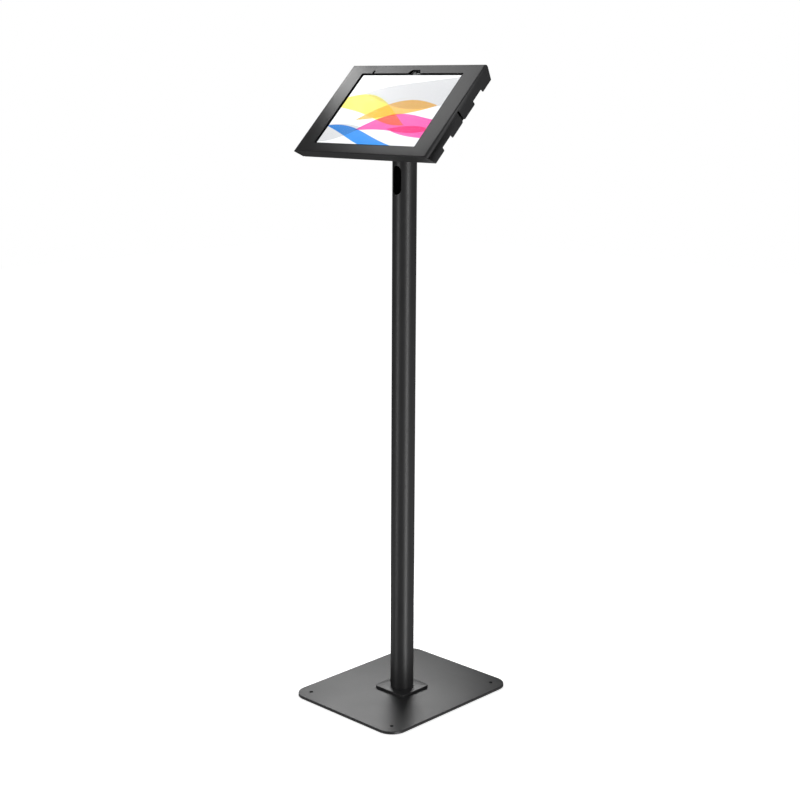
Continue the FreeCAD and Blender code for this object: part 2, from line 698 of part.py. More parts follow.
def rear_tray():
    tray = box((tray_left_x, -tray_half_y, tray_back_z), (tray_right_x, tray_half_y, tray_front_z))
    for side in (-1, 1):
        edge = side * tray_half_y
        low_y = min(edge, edge - side * TRAY_SHEET)
        lip = box((tray_left_x + TRAY_LIP_END, low_y, face_z - TRAY_LIP_DEPTH),
                  (tray_right_x - TRAY_LIP_END / 2, low_y + TRAY_SHEET, tray_front_z))
        tray = tray.fuse(lip)
    guard = box((tray_right_x - TRAY_SHEET, -SLOT_GUARD_LENGTH / 2, face_z - TRAY_LIP_DEPTH),
                (tray_right_x, SLOT_GUARD_LENGTH / 2, tray_front_z))
    tray = tray.fuse(guard).removeSplitter()
    for x, y in corners(PLATE_SCREW_SPACING / 2, PLATE_SCREW_SPACING / 2):
        tray = tray.cut(cylinder(PLATE_SCREW_R + SEAT_FIT, TRAY_SHEET, V(x, y, tray_back_z)))
    tray = tray.cut(obround(CABLE_HOLE_LENGTH, CABLE_HOLE_HEIGHT, TRAY_SHEET,
                            V(0, cable_hole_y, tray_back_z), V(1, 0, 0), V(0, 0, 1)))
    tray = tray.cut(cylinder(LOCK_BARREL_R + SEAT_FIT, TRAY_SHEET, lock_place(tray_back_z)))
    rivets = [(sx * retainer_rivet_x(), y) for sx, y in retainer_places()] + leaf_rivet_places()
    for x, y in rivets:
        tray = tray.cut(cylinder(RIVET_R + SEAT_FIT, TRAY_SHEET, V(x, y, tray_back_z)))
    return tray


def cable_grommet():
    """A rubber ring that lines the cable hole, with a lip behind the tray and one inside."""
    def layer(grow, low, high):
        return obround(CABLE_HOLE_LENGTH + 2 * grow, CABLE_HOLE_HEIGHT + 2 * grow, high - low,
                       V(0, cable_hole_y, low), V(1, 0, 0), V(0, 0, 1))

    low = tray_back_z - GROMMET_LIP_THICKNESS
    high = tray_front_z + GROMMET_LIP_THICKNESS
    shape = layer(-SEAT_FIT, low, high)
    shape = shape.fuse(layer(GROMMET_LIP, low, tray_back_z)).fuse(layer(GROMMET_LIP, tray_front_z, high))
    return shape.cut(layer(-GROMMET_WALL, low, high)).removeSplitter()


def tablet_rests():
    shapes = []
    for x, y in corners(REST_X, REST_Y):
        rest = box((x - REST_LENGTH / 2, y - REST_HEIGHT / 2, tray_front_z),
                   (x + REST_LENGTH / 2, y + REST_HEIGHT / 2, tablet_back_z))
        upright = [e for e in rest.Edges if e.BoundBox.ZLength > 1e-3]
        shapes.append(rest.makeFillet(REST_EDGE_R, upright))
    return group(shapes)


def tablet_retainers():
    """Four angle brackets that keep the tablet from sliding endways."""
    shapes = []
    near = tablet_length / 2 + SMALL_GAP
    for sx, y in retainer_places():
        low_y = y - RETAINER_LENGTH / 2
        high_y = y + RETAINER_LENGTH / 2
        upright = box((near, low_y, tray_front_z), (near + RETAINER_SHEET, high_y, face_z - RETAINER_TOP_DEPTH))
        foot = box((near, low_y, tray_front_z), (near + RETAINER_FOOT, high_y, tray_front_z + RETAINER_SHEET))
        bracket = upright.fuse(foot).removeSplitter()
        bracket = bracket.cut(cylinder(RIVET_R + SEAT_FIT, RETAINER_SHEET,
                                       V(retainer_rivet_x(), y, tray_front_z)))
        if sx < 0:
            bracket = bracket.mirror(V(0, 0, 0), V(1, 0, 0))
        shapes.append(bracket)
    return group(shapes)


def rivet(x, y, low, high):
    """A rivet with a domed head at each end, through sheets from low to high."""
    shank = cylinder(RIVET_R, high - low, V(x, y, low))
    shape = shank
    for z, way in ((low, -1), (high, 1)):
        head = Part.makeCone(RIVET_HEAD_R, RIVET_HEAD_R * 0.6, RIVET_HEAD_HEIGHT, V(x, y, z), V(0, 0, way))
        shape = shape.fuse(head)
    return shape.removeSplitter()


def retainer_rivets():
    return group([rivet(sx * retainer_rivet_x(), y, tray_back_z, tray_front_z + RETAINER_SHEET)
                  for sx, y in retainer_places()])


# Cover hinge

def knuckle_spans(first):
    """The stretches along the hinge of every second knuckle."""
    pitch = HINGE_LENGTH / HINGE_KNUCKLES
    start = -HINGE_LENGTH / 2
    return [(start + i * pitch + HINGE_KNUCKLE_GAP / 2, start + (i + 1) * pitch - HINGE_KNUCKLE_GAP / 2)
            for i in range(first, HINGE_KNUCKLES, 2)]


def knuckle(low, high):
    return cylinder(HINGE_R, high - low, V(hinge_x, low, hinge_z), V(0, 1, 0))


def pin_bore(radius):
    return cylinder(radius, HINGE_LENGTH + 2, V(hinge_x, -HINGE_LENGTH / 2 - 1, hinge_z), V(0, 1, 0))


def tray_hinge_leaf():
    half = HINGE_LENGTH / 2
    leaf = box((tray_left_x, -half, tray_back_z - HINGE_LEAF),
               (tray_left_x + HINGE_TRAY_LEAF_WIDTH, half, tray_back_z))
    for low, high in knuckle_spans(0):
        bridge = box((hinge_x, low, tray_back_z - HINGE_LEAF), (tray_left_x, high, tray_back_z))
        leaf = leaf.fuse(bridge).fuse(knuckle(low, high))
    leaf = leaf.removeSplitter().cut(pin_bore(HINGE_PIN_R + SEAT_FIT))
    for x, y in leaf_rivet_places():
        leaf = leaf.cut(cylinder(RIVET_R + SEAT_FIT, HINGE_LEAF, V(x, y, tray_back_z - HINGE_LEAF)))
    return leaf


def hinge_rivets():
    return group([rivet(x, y, tray_back_z - HINGE_LEAF, tray_front_z) for x, y in leaf_rivet_places()])


def hinge_pin():
    half = HINGE_LENGTH / 2
    pin = cylinder(HINGE_PIN_R, HINGE_LENGTH, V(hinge_x, -half, hinge_z), V(0, 1, 0))
    for side in (-1, 1):
        head = cylinder(HINGE_PIN_HEAD_R, HINGE_PIN_HEAD_LENGTH, V(hinge_x, side * half, hinge_z), V(0, side, 0))
        pin = pin.fuse(head)
    return pin.removeSplitter()


def cover_hinge_leaf():
    """The leaf that is welded inside the cover's left wall."""
    half = HINGE_LENGTH / 2
    outer_x = -cover_inner_x
    front_z = face_z - HINGE_COVER_LEAF_DEPTH
    leaf = box((outer_x, -half, tray_back_z + SMALL_GAP), (outer_x + HINGE_LEAF, half, front_z))
    for low, high in knuckle_spans(1):
        bridge = box((outer_x, low, hinge_z), (outer_x + HINGE_LEAF, high, tray_back_z + SMALL_GAP))
        leaf = leaf.fuse(bridge).fuse(knuckle(low, high))
    return leaf.removeSplitter().cut(pin_bore(HINGE_PIN_R + RUNNING_FIT))


# Tablet

def tablet_plate(inset, low, high):
    return rounded_plate(tablet_length - 2 * inset, tablet_height - 2 * inset,
                         TABLET_CORNER_R - inset, low, high)


def volume_places():
    return [VOLUME_BUTTON_X - VOLUME_BUTTON_PITCH / 2, VOLUME_BUTTON_X + VOLUME_BUTTON_PITCH / 2]


def button_z():
    return (glass_z + tablet_back_z) / 2 - GLASS_THICKNESS


def side_button(grow, out):
    """A key in the middle of the tablet's upper edge, grown for its pocket; out is how far it stands."""
    half_x = BUTTON_LENGTH / 2 + grow
    half_z = BUTTON_HEIGHT / 2 + grow
    edge = tablet_height / 2
    deep = edge - BUTTON_SEAT_DEPTH - grow
    return box((-half_x, deep, button_z() - half_z), (half_x, edge + out, button_z() + half_z))


def power_button_at(shape):
    """Turns a key from the upper edge to the left edge."""
    moved = shape.copy()
    moved.rotate(V(0, 0, 0), V(0, 0, 1), 90)
    moved.translate(V(tablet_height / 2 - tablet_length / 2, POWER_BUTTON_Y, 0))
    return moved


def rear_camera_place():
    return V(REAR_CAMERA_INSET_X - tablet_length / 2, tablet_height / 2 - REAR_CAMERA_INSET_Y, 0)


def port_solid(grow, depth):
    return obround(PORT_WIDTH + 2 * grow, PORT_HEIGHT + 2 * grow, depth,
                   V(tablet_length / 2, 0, button_z()), V(0, 1, 0), V(-1, 0, 0))


def tablet_body():
    body = tablet_plate(0, tablet_back_z, glass_z)
    rims = edges_at(body, tablet_back_z) + edges_at(body, glass_z)
    body = body.makeFillet(TABLET_EDGE_R * 0.5, rims)
    glass_seat = tablet_plate(GLASS_INSET - SEAT_FIT, glass_z - GLASS_THICKNESS, glass_z)
    hollow_top = glass_z - GLASS_THICKNESS
    hollow = tablet_plate(GLASS_INSET + TABLET_WALL + 1.0, tablet_back_z + TABLET_WALL, hollow_top)
    body = body.cut(glass_seat).cut(hollow)
    pocket = side_button(SIDE_PLAY + BUTTON_TRAVEL, 1.0)
    for x in volume_places():
        key = pocket.copy()
        key.translate(V(x, 0, 0))
        body = body.cut(key)
    body = body.cut(power_button_at(pocket))
    body = body.cut(port_solid(0, PORT_DEPTH))
    return body


def tablet_glass():
    return tablet_plate(GLASS_INSET, glass_z - GLASS_THICKNESS, glass_z)


def tablet_display():
    top = glass_z - GLASS_THICKNESS
    return box((-DISPLAY_LENGTH / 2, -DISPLAY_HEIGHT / 2, top - DISPLAY_THICKNESS),
               (DISPLAY_LENGTH / 2, DISPLAY_HEIGHT / 2, top))


def tablet_battery():
    low = tablet_back_z + TABLET_WALL
    x = -BOARD_LENGTH / 2 - BOARD_GAP / 2
    return box((x - BATTERY_LENGTH / 2, -BATTERY_HEIGHT / 2, low),
               (x + BATTERY_LENGTH / 2, BATTERY_HEIGHT / 2, low + BATTERY_THICKNESS))


def tablet_board():
    low = tablet_back_z + TABLET_WALL
    x = BATTERY_LENGTH / 2 + BOARD_GAP / 2
    return box((x - BOARD_LENGTH / 2, -BOARD_HEIGHT / 2, low),
               (x + BOARD_LENGTH / 2, BOARD_HEIGHT / 2, low + BOARD_THICKNESS))


def front_camera():
    """The lens module under the glass, in the middle of the upper border."""
    border_y = DISPLAY_HEIGHT / 2 + (DISPLAY_BORDER_Y - GLASS_INSET) / 2
    top = glass_z - GLASS_THICKNESS
    return cylinder(FRONT_CAMERA_R, DISPLAY_THICKNESS * 4, V(0, border_y, top), V(0, 0, -1))


def rear_camera():
    base = rear_camera_place() + V(0, 0, tablet_back_z)
    lens = cylinder(REAR_CAMERA_R, REAR_CAMERA_PROUD, base, V(0, 0, -1))
    return lens.makeFillet(REAR_CAMERA_PROUD * 0.5, edges_at(lens, tablet_back_z - REAR_CAMERA_PROUD))


def charge_port():
    """The metal shell of the tablet's socket, at the middle of its right edge."""
    shell = port_solid(-SEAT_FIT, PORT_DEPTH)
    return shell.cut(port_solid(-PORT_WALL, PORT_DEPTH - PORT_WALL))


def power_button():
    return power_button_at(side_button(0, BUTTON_PROUD))


def volume_button(index):
    key = side_button(0, BUTTON_PROUD)
    key.translate(V(volume_places()[index], 0, 0))
    return key


# Lock

def lock_body():
    flange = cylinder(LOCK_FLANGE_R, LOCK_FLANGE_THICKNESS, lock_place(tray_back_z), V(0, 0, -1))
    flange = flange.makeFillet(0.8, edges_at(flange, tray_back_z - LOCK_FLANGE_THICKNESS))
    barrel = cylinder(LOCK_BARREL_R, lock_barrel_front_z - tray_back_z, lock_place(tray_back_z))
    height = lock_barrel_front_z - tray_back_z + LOCK_FLANGE_THICKNESS
    bore = cylinder(LOCK_PLUG_R + RUNNING_FIT, height, lock_place(tray_back_z - LOCK_FLANGE_THICKNESS))
    return flange.fuse(barrel).removeSplitter().cut(bore)


def lock_nut():
    nut = hexagon(LOCK_NUT_ACROSS, LOCK_NUT_THICKNESS, lock_place(tray_front_z))
    return nut.cut(cylinder(LOCK_BARREL_R + SEAT_FIT, LOCK_NUT_THICKNESS, lock_place(tray_front_z)))


def lock_plug():
    """The part that the key turns, with its keyway in the rear face."""
    back = tray_back_z - LOCK_FLANGE_THICKNESS
    plug = cylinder(LOCK_PLUG_R, cam_z - back, lock_place(back))
    keyway = box((lock_x - KEYWAY_WIDTH / 2, LOCK_Y - KEYWAY_LENGTH / 2, back),
                 (lock_x + KEYWAY_WIDTH / 2, LOCK_Y + KEYWAY_LENGTH / 2, back + KEYWAY_DEPTH))
    bore = cylinder(CAM_SCREW_R + SEAT_FIT, KEYWAY_DEPTH * 2, lock_place(cam_z), V(0, 0, -1))
    return plug.cut(keyway).cut(bore)


def lock_cam():
    """The cam points down the tray when unlocked; a quarter turn brings it behind the catch."""
    hub = cylinder(CAM_R, CAM_THICKNESS, lock_place(cam_z))
    arm = box((lock_x - CAM_WIDTH / 2, LOCK_Y - CAM_REACH, cam_z),
              (lock_x + CAM_WIDTH / 2, LOCK_Y, cam_z + CAM_THICKNESS))
    cam = hub.fuse(arm).removeSplitter()
    return cam.cut(cylinder(CAM_SCREW_R + SEAT_FIT, CAM_THICKNESS, lock_place(cam_z)))


def lock_cam_screw():
    seat = lock_place(cam_z + CAM_THICKNESS)
    head = cylinder(CAM_SCREW_HEAD_R, CAM_SCREW_HEAD_HEIGHT, seat)
    shank = cylinder(CAM_SCREW_R, CAM_THICKNESS + KEYWAY_DEPTH * 2 - 1, seat, V(0, 0, -1))
    return head.fuse(shank).removeSplitter()


def lock_catch():
    """The angle inside the cover's right wall that the cam holds."""
    high_z = cam_z - SMALL_GAP
    low_z = high_z - CATCH_SHEET
    wall_x = cover_inner_x
    low_y = LOCK_Y - CATCH_LENGTH / 2
    high_y = LOCK_Y + CATCH_LENGTH / 2
    flange = box((wall_x - CATCH_REACH, low_y, low_z), (wall_x, high_y, high_z))
    leaf = box((wall_x - CATCH_SHEET, low_y, low_z), (wall_x, high_y, face_z - CATCH_LEAF_DEPTH))
    return flange.fuse(leaf).removeSplitter()


# Front cover

def cover_block(inset, tail):
    """The cover's outer form, or with an inset its inner one, with a tail past the rear edge."""
    front = face_z - inset
    rear = cover_rear_z - tail
    half_x = cover_width / 2 - inset
    across = inset / math.cos(math.radians(COVER_SLOPE))

    def half_y(z):
        return cover_height / 2 - (face_z - z) * slope - across

    outline = [V(-half_x, -half_y(front), front), V(-half_x, half_y(front), front),
               V(-half_x, half_y(rear), rear), V(-half_x, -half_y(rear), rear)]
    sloped = prism(outline, V(2 * half_x, 0, 0))
    sloped = sloped.makeFillet(LONG_BEND_R - inset, fold_edges(sloped, front, True))
    upright = box((-half_x, -cover_height, rear), (half_x, cover_height, front))
    upright = upright.makeFillet(SIDE_BEND_R - inset, fold_edges(upright, front, False))
    return sloped.common(upright)


def fold_edges(block, z, along_x):
    """The block's edges at a height that run along X, or the ones along Y."""
    return [e for e in edges_at(block, z) if (e.BoundBox.XLength > e.BoundBox.YLength) == along_x]


def edge_notch(side, centre, half_length, start_depth, mouth_r):
    """A notch through one side wall, open at the rear edge, with its mouth corners rounded."""
    x = side * cover_width / 4
    top = face_z - start_depth
    rear = cover_rear_z
    mid = mouth_r * (1 - math.sqrt(0.5))
    a = half_length
    b = half_length + mouth_r

    def at(y, z):
        return V(x, centre + y, z)

    outline = [at(-a, top), at(a, top), at(a, rear + mouth_r), (at(a + mid, rear + mid), at(b, rear)),
               at(b, rear - 1), at(-b, rear - 1), at(-b, rear), (at(-a - mid, rear + mid), at(-a, rear + mouth_r))]
    return prism(outline, V(side * cover_width / 2, 0, 0))


def corner_relief(side_y):
    """The gap on the hinge side between a sloping wall's slanted end and the side wall."""
    wall = -cover_inner_x
    start_z = face_z - CORNER_RELIEF_START
    rear = cover_rear_z - 1
    half_y = cover_height / 2
    ys = sorted((side_y * (half_y - COVER_DEPTH * slope - wall_across * 2), side_y * (half_y + 1)))
    outline = [V(wall, ys[0], start_z), V(wall + CORNER_RELIEF_FRONT, ys[0], start_z),
               V(wall + CORNER_RELIEF_REAR, ys[0], rear), V(wall, ys[0], rear)]
    return prism(outline, V(0, ys[1] - ys[0], 0))


def window_cut():
    half_x = DISPLAY_LENGTH / 2 + WINDOW_MARGIN_X
    half_y = DISPLAY_HEIGHT / 2 + WINDOW_MARGIN_Y
    low = face_z - COVER_SHEET - 0.5
    high = face_z + 0.5
    window = rounded_plate(2 * half_x, 2 * half_y, WINDOW_CORNER_R, low, high)
    base = CAMERA_NOTCH_BASE / 2
    top = CAMERA_NOTCH_TOP / 2
    rise = half_y + CAMERA_NOTCH_HEIGHT
    notch = prism([V(CAMERA_NOTCH_X - base, half_y - 1, low), V(CAMERA_NOTCH_X + base, half_y - 1, low),
                   V(CAMERA_NOTCH_X + base, half_y, low), V(CAMERA_NOTCH_X + top, rise, low),
                   V(CAMERA_NOTCH_X - top, rise, low), V(CAMERA_NOTCH_X - base, half_y, low)],
                  V(0, 0, high - low))
    slit = box((SENSOR_SLIT_X - SENSOR_SLIT_WIDTH / 2, half_y - 1, low),
               (SENSOR_SLIT_X + SENSOR_SLIT_WIDTH / 2, half_y + SENSOR_SLIT_HEIGHT, high))
    return window.fuse(notch).fuse(slit)


def front_cover():
    cover = cover_block(0, 0).cut(cover_block(COVER_SHEET, 2.0))
    cover = cover.cut(window_cut())
    for side, way in corners(1, 1):
        cover = cover.cut(edge_notch(side, way * SOUND_NOTCH_CENTRE, SOUND_NOTCH_LENGTH / 2,
                                     COVER_DEPTH - SOUND_NOTCH_DEPTH, SOUND_NOTCH_MOUTH_R))
    cover = cover.cut(edge_notch(1, 0, SIDE_SLOT_WIDTH / 2, SIDE_SLOT_START, SIDE_SLOT_MOUTH_R))
    for side_y in (-1, 1):
        cover = cover.cut(corner_relief(side_y))
    return cover.removeSplitter()


def foam_strips():
    """Foam inside the cover that keeps the tablet from sliding up or down."""
    high = face_z - COVER_SHEET
    shapes = []
    for side in (-1, 1):
        near = side * (tablet_height / 2 + FOAM_OFF_TABLET)
        far = near + side * FOAM_HEIGHT
        shapes.append(box((-FOAM_LENGTH / 2, min(near, far), high - FOAM_DEPTH),
                          (FOAM_LENGTH / 2, max(near, far), high)))
    return group(shapes)


STAND_NODES = {
    "base_plate": base_plate,
    "base_pads": base_pads,
    "pole_flange": pole_flange,
    "flange_screws": flange_screws,
    "pole_tube": pole_tube,
    "pole_plug": pole_plug,
    "plug_set_screws": plug_set_screws,
    "head_fork": head_fork,
    "fork_screw": fork_screw,
    "fork_pins": fork_pins,
    "tilt_bolt": tilt_bolt,
    "tilt_washers": tilt_washers,
    "tilt_nut": tilt_nut,
}

HEAD_NODES = {
    "tilt_yoke": tilt_yoke,
    "tilt_sleeve": tilt_sleeve,
    "friction_washers": friction_washers,
    "turn_disc": turn_disc,
    "disc_rivets": disc_rivets,
    "stop_pin": stop_pin,
    "turn_washer": turn_washer,
    "mounting_plate": mounting_plate,
    "turn_stud": turn_stud,
    "stud_spring_washers": stud_spring_washers,
    "stud_nut": stud_nut,
    "plate_screws": plate_screws,
    "rear_tray": rear_tray,
    "cable_grommet": cable_grommet,
    "tablet_rests": tablet_rests,
    "tablet_retainers": tablet_retainers,
    "retainer_rivets": retainer_rivets,
    "tray_hinge_leaf": tray_hinge_leaf,
    "hinge_rivets": hinge_rivets,
    "hinge_pin": hinge_pin,
    "cover_hinge_leaf": cover_hinge_leaf,
    "front_cover": front_cover,
    "foam_strips": foam_strips,
    "lock_catch": lock_catch,
    "lock_body": lock_body,
    "lock_nut": lock_nut,
    "lock_plug": lock_plug,
    "lock_cam": lock_cam,
    "lock_cam_screw": lock_cam_screw,
    "tablet_body": tablet_body,
    "tablet_glass": tablet_glass,
    "tablet_display": tablet_display,
    "tablet_battery": tablet_battery,
    "tablet_board": tablet_board,
    "front_camera": front_camera,
    "rear_camera": rear_camera,
    "charge_port": charge_port,
    "power_button": power_button,
    "volume_up_button": lambda: volume_button(1),
    "volume_down_button": lambda: volume_button(0),
}


def build():
    os.makedirs("parts", exist_ok=True)
    for name, make in STAND_NODES.items():
        make().exportStep("parts/" + name + ".step")
    for name, make in HEAD_NODES.items():
        on_head(make()).exportStep("parts/" + name + ".step")


build()
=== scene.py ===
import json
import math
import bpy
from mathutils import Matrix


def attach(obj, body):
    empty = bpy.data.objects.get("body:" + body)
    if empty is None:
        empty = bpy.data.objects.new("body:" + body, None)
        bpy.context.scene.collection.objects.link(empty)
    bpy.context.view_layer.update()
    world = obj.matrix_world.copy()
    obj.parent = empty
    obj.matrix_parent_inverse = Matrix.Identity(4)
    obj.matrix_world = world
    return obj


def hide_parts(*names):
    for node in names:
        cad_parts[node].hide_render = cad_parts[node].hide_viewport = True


bl_info = {
    "name": "Tablet Floor Stand",
    "version": (1, 0, 0),
    "blender": (4, 5, 0),
    "location": "3D View > Sidebar > Stand",
    "description": "Models and finishes a floor stand with a locking tablet enclosure",
    "category": "Object",
}

import bmesh
import bpy
from bpy.props import FloatProperty, FloatVectorProperty, PointerProperty
from bpy.types import Operator, Panel, PropertyGroup
from mathutils import Matrix, Vector

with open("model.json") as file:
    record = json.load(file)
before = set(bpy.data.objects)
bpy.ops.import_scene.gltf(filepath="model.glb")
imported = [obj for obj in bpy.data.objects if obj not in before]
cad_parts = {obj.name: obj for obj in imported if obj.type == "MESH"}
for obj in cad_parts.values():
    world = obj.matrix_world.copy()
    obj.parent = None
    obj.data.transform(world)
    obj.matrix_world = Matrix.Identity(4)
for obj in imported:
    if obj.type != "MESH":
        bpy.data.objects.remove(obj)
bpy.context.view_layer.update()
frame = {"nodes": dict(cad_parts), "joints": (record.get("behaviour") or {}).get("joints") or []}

# Sides of a round shape, by what it is
POLE_SIDES = 144
PLUG_SIDES = 128
BOSS_SIDES = 96
KNOB_SIDES = 64
BOLT_SIDES = 48
HOLE_SIDES = 32

# In metres
PAST = 0.001        # how far a shape reaches past the face it cuts or joins
PLAY = 0.00005      # how much wider a hole is than its screw, on each side
SAME = 1e-6         # points nearer to each other than this are at one place

UP, DOWN = (0, 0, 1), (0, 0, -1)
WHITE = (1.0, 1.0, 1.0, 1.0)
BLACK = (0.0, 0.0, 0.0, 1.0)


def length(name, description, default):
    return FloatProperty(name=name, description=description, default=default, min=0.0, unit="LENGTH", precision=5)


def place(name, description, default):
    return FloatProperty(name=name, description=description, default=default, unit="LENGTH", precision=5)


def angle(name, description, degrees):
    return FloatProperty(name=name, description=description, default=math.radians(degrees), subtype="ANGLE")


def factor(name, description, default, top=1.0):
    return FloatProperty(name=name, description=description, default=default, min=0.0, max=top)


def colour(name, description, default):
    return FloatVectorProperty(name=name, description=description, default=default, size=3, min=0.0, max=1.0,
                               subtype="COLOR")


def joint_pivot(name):
    return next(j["pos_m"] for j in frame["joints"] if j["name"] == name)


class StandSizes(PropertyGroup):
    base_width: length("Base width", "Width of the base plate", 0.255)
    base_depth: length("Base depth", "Depth of the base plate, front to back", 0.3124)
    base_corner: length("Base corner", "Corner radius of the base plate", 0.030)
    base_under: length("Base underside", "Height of the base plate's underside", 0.001)
    base_top: length("Base top", "Height of the base plate's top", 0.006)
    base_rim: length("Base rim", "Rounding of the base plate's upper edge", 0.0009)
    floor_hole_inset: length("Floor hole inset", "Distance of the floor holes from both edges", 0.0252)
    floor_hole: length("Floor hole radius", "Radius of the floor holes", 0.0035)
    pad_radius: length("Pad radius", "Radius of the rubber pads", 0.014)
    pad_inset: length("Pad inset", "Distance of the pads from both edges", 0.046)
    foot_size: length("Foot plate size", "Width of the square plate at the pole's foot", 0.071)
    foot_corner: length("Foot plate corner", "Corner radius of the foot plate", 0.007)
    foot_top: length("Foot plate top", "Height of the foot plate's top", 0.0105)
    pole_radius: length("Pole radius", "Outside radius of the pole", 0.021)
    pole_wall: length("Pole wall", "Wall of the pole's tube", 0.002)
    pole_top: length("Pole top", "Height of the pole's top edge", 0.982)
    slot_width: length("Cable slot width", "Width of the cable slots in the pole", 0.0196)
    slot_height: length("Cable slot height", "Height of the upper cable slot", 0.0485)
    slot_centre: length("Cable slot centre", "Height of the middle of the upper cable slot", 0.9269)
    exit_width: length("Exit slot width", "Width of the lower slot at the back", 0.016)
    exit_height: length("Exit slot height", "Height of the lower slot at the back", 0.032)
    exit_centre: length("Exit slot centre", "Height of the middle of the lower slot", 0.0465)


class HeadSizes(PropertyGroup):
    pivot: length("Pivot height", "Height of the tilt bolt", joint_pivot("head_tilt")[2])
    tilt: angle("Tilt", "Tilt of the enclosure at rest", 45.0)
    fork_depth: length("Fork depth", "Depth of the tilt fork, front to back", 0.026)
    fork_inner: length("Fork gap", "Half of the gap between the fork's cheeks", 0.0142)
    fork_sheet: length("Fork sheet", "Thickness of the fork", 0.004)
    ear_inner: length("Ear gap", "Half of the gap between the yoke's ears", 0.009)
    ear_sheet: length("Ear sheet", "Thickness of the yoke's ears", 0.004)
    ear_radius: length("Ear radius", "Radius of the ears about the tilt bolt", 0.012)
    web_back: length("Web back", "Distance of the yoke's web from the tilt bolt", 0.0318)
    disc_back: length("Disc back", "Distance of the turning disc from the tilt bolt", 0.0358)
    disc_radius: length("Disc radius", "Radius of the turning disc", 0.038)
    disc_sheet: length("Disc sheet", "Thickness of the turning disc", 0.003)
    plate_back: length("Plate back", "Distance of the mounting plate from the tilt bolt", 0.0397)
    plate_size: length("Plate size", "Width of the square mounting plate", 0.115)
    plate_corner: length("Plate corner", "Corner radius of the mounting plate", 0.010)
    plate_holes: length("Plate holes", "Spacing of the mounting plate's screws", 0.100)


class EnclosureSizes(PropertyGroup):
    width: length("Width", "Width of the front cover", 0.310)
    height: length("Height", "Height of the front cover's face", 0.204)
    depth: length("Depth", "Depth of the front cover's walls", 0.025)
    face: length("Face", "Distance of the face from the tilt bolt", 0.0607)
    sheet: length("Sheet", "Thickness of the steel sheet", 0.0015)
    slope: angle("Wall slope", "Inward slope of the upper and lower walls", 22.0)
    bend: length("Bend radius", "Outside radius of the side walls' folds", 0.0055)
    long_bend: length("Long bend radius", "Outside radius of the sloping walls' folds", 0.0018)
    relief_start: length("Relief start", "Distance of the hinge side's corner gaps from the face", 0.0065)
    relief_front: length("Relief at the fold", "Width of the corner gaps near the fold", 0.0075)
    relief_rear: length("Relief at the rear", "Width of the corner gaps at the rear edge", 0.0022)
    window_width: length("Window width", "Width of the window", 0.23446)
    window_height: length("Window height", "Height of the window", 0.16359)
    notch_middle: place("Camera notch middle", "Middle of the camera notch along the window", 0.0065)
    notch_base: length("Camera notch base", "Width of the camera notch at the window", 0.029)
    notch_top: length("Camera notch top", "Width of the camera notch at its top", 0.018)
    notch_height: length("Camera notch height", "Height of the camera notch", 0.0076)
    slit_middle: place("Sensor slit middle", "Middle of the sensor slit along the window", -0.091)
    slit_width: length("Sensor slit width", "Width of the sensor slit", 0.0048)
    slit_height: length("Sensor slit height", "Height of the sensor slit", 0.0068)
    sound_middle: length("Sound notch middle", "Middle of the sound notches along the side walls", 0.0505)
    sound_length: length("Sound notch length", "Length of the sound notches", 0.027)
    sound_depth: length("Sound notch depth", "Depth of the sound notches", 0.0065)
    side_slot: length("Side slot width", "Width of the cable slot in the right wall", 0.0046)
    side_slot_start: length("Side slot start", "Distance of the side slot's end from the face", 0.0038)
    slot_guard: length("Slot guard", "Length of the tray's tab behind the side slot", 0.024)
    tray_back: length("Tray back", "Distance of the tray's back from the tilt bolt", 0.0427)
    tray_lip: length("Tray lip", "Distance of the tray's lip edges from the tilt bolt", 0.0367)
    tray_half: length("Tray half height", "Half of the tray's height", 0.08978)
    tray_left: place("Tray left", "Left edge of the tray", -0.1479)
    tray_right: place("Tray right", "Right edge of the tray", 0.1529)
    cable_hole: place("Cable hole", "Place of the cable hole up the tray", -0.0730015)
    cable_hole_length: length("Cable hole length", "Length of the cable hole", 0.036)
    cable_hole_height: length("Cable hole height", "Height of the cable hole", 0.018)
    lock_x: place("Lock across", "Place of the lock across the tray", 0.137)
    lock_y: place("Lock up", "Place of the lock up the tray", 0.030)
    hinge_x: place("Hinge across", "Place of the hinge pin across the tray", -0.1507)
    hinge_z: length("Hinge depth", "Distance of the hinge pin from the tilt bolt", 0.0402)
    hinge_length: length("Hinge length", "Length of the cover hinge", 0.066)
    hinge_radius: length("Hinge radius", "Radius of the hinge's knuckles", 0.0025)


class TabletSizes(PropertyGroup):
    length: length("Length", "Length of the tablet", 0.2486)
    height: length("Height", "Height of the tablet", 0.1795)
    back: length("Back", "Distance of the tablet's back from the tilt bolt", 0.0521)
    front: length("Front", "Distance of the tablet's glass from the tilt bolt", 0.0591)
    corner: length("Corner", "Corner radius of the tablet", 0.018)
    glass: length("Glass", "Thickness of the cover glass", 0.0006)
    glass_inset: length("Glass inset", "Distance of the glass from the tablet's edge", 0.0012)
    screen_length: length("Screen length", "Length of the lit screen", 0.22706)
    screen_height: length("Screen height", "Height of the lit screen", 0.15779)


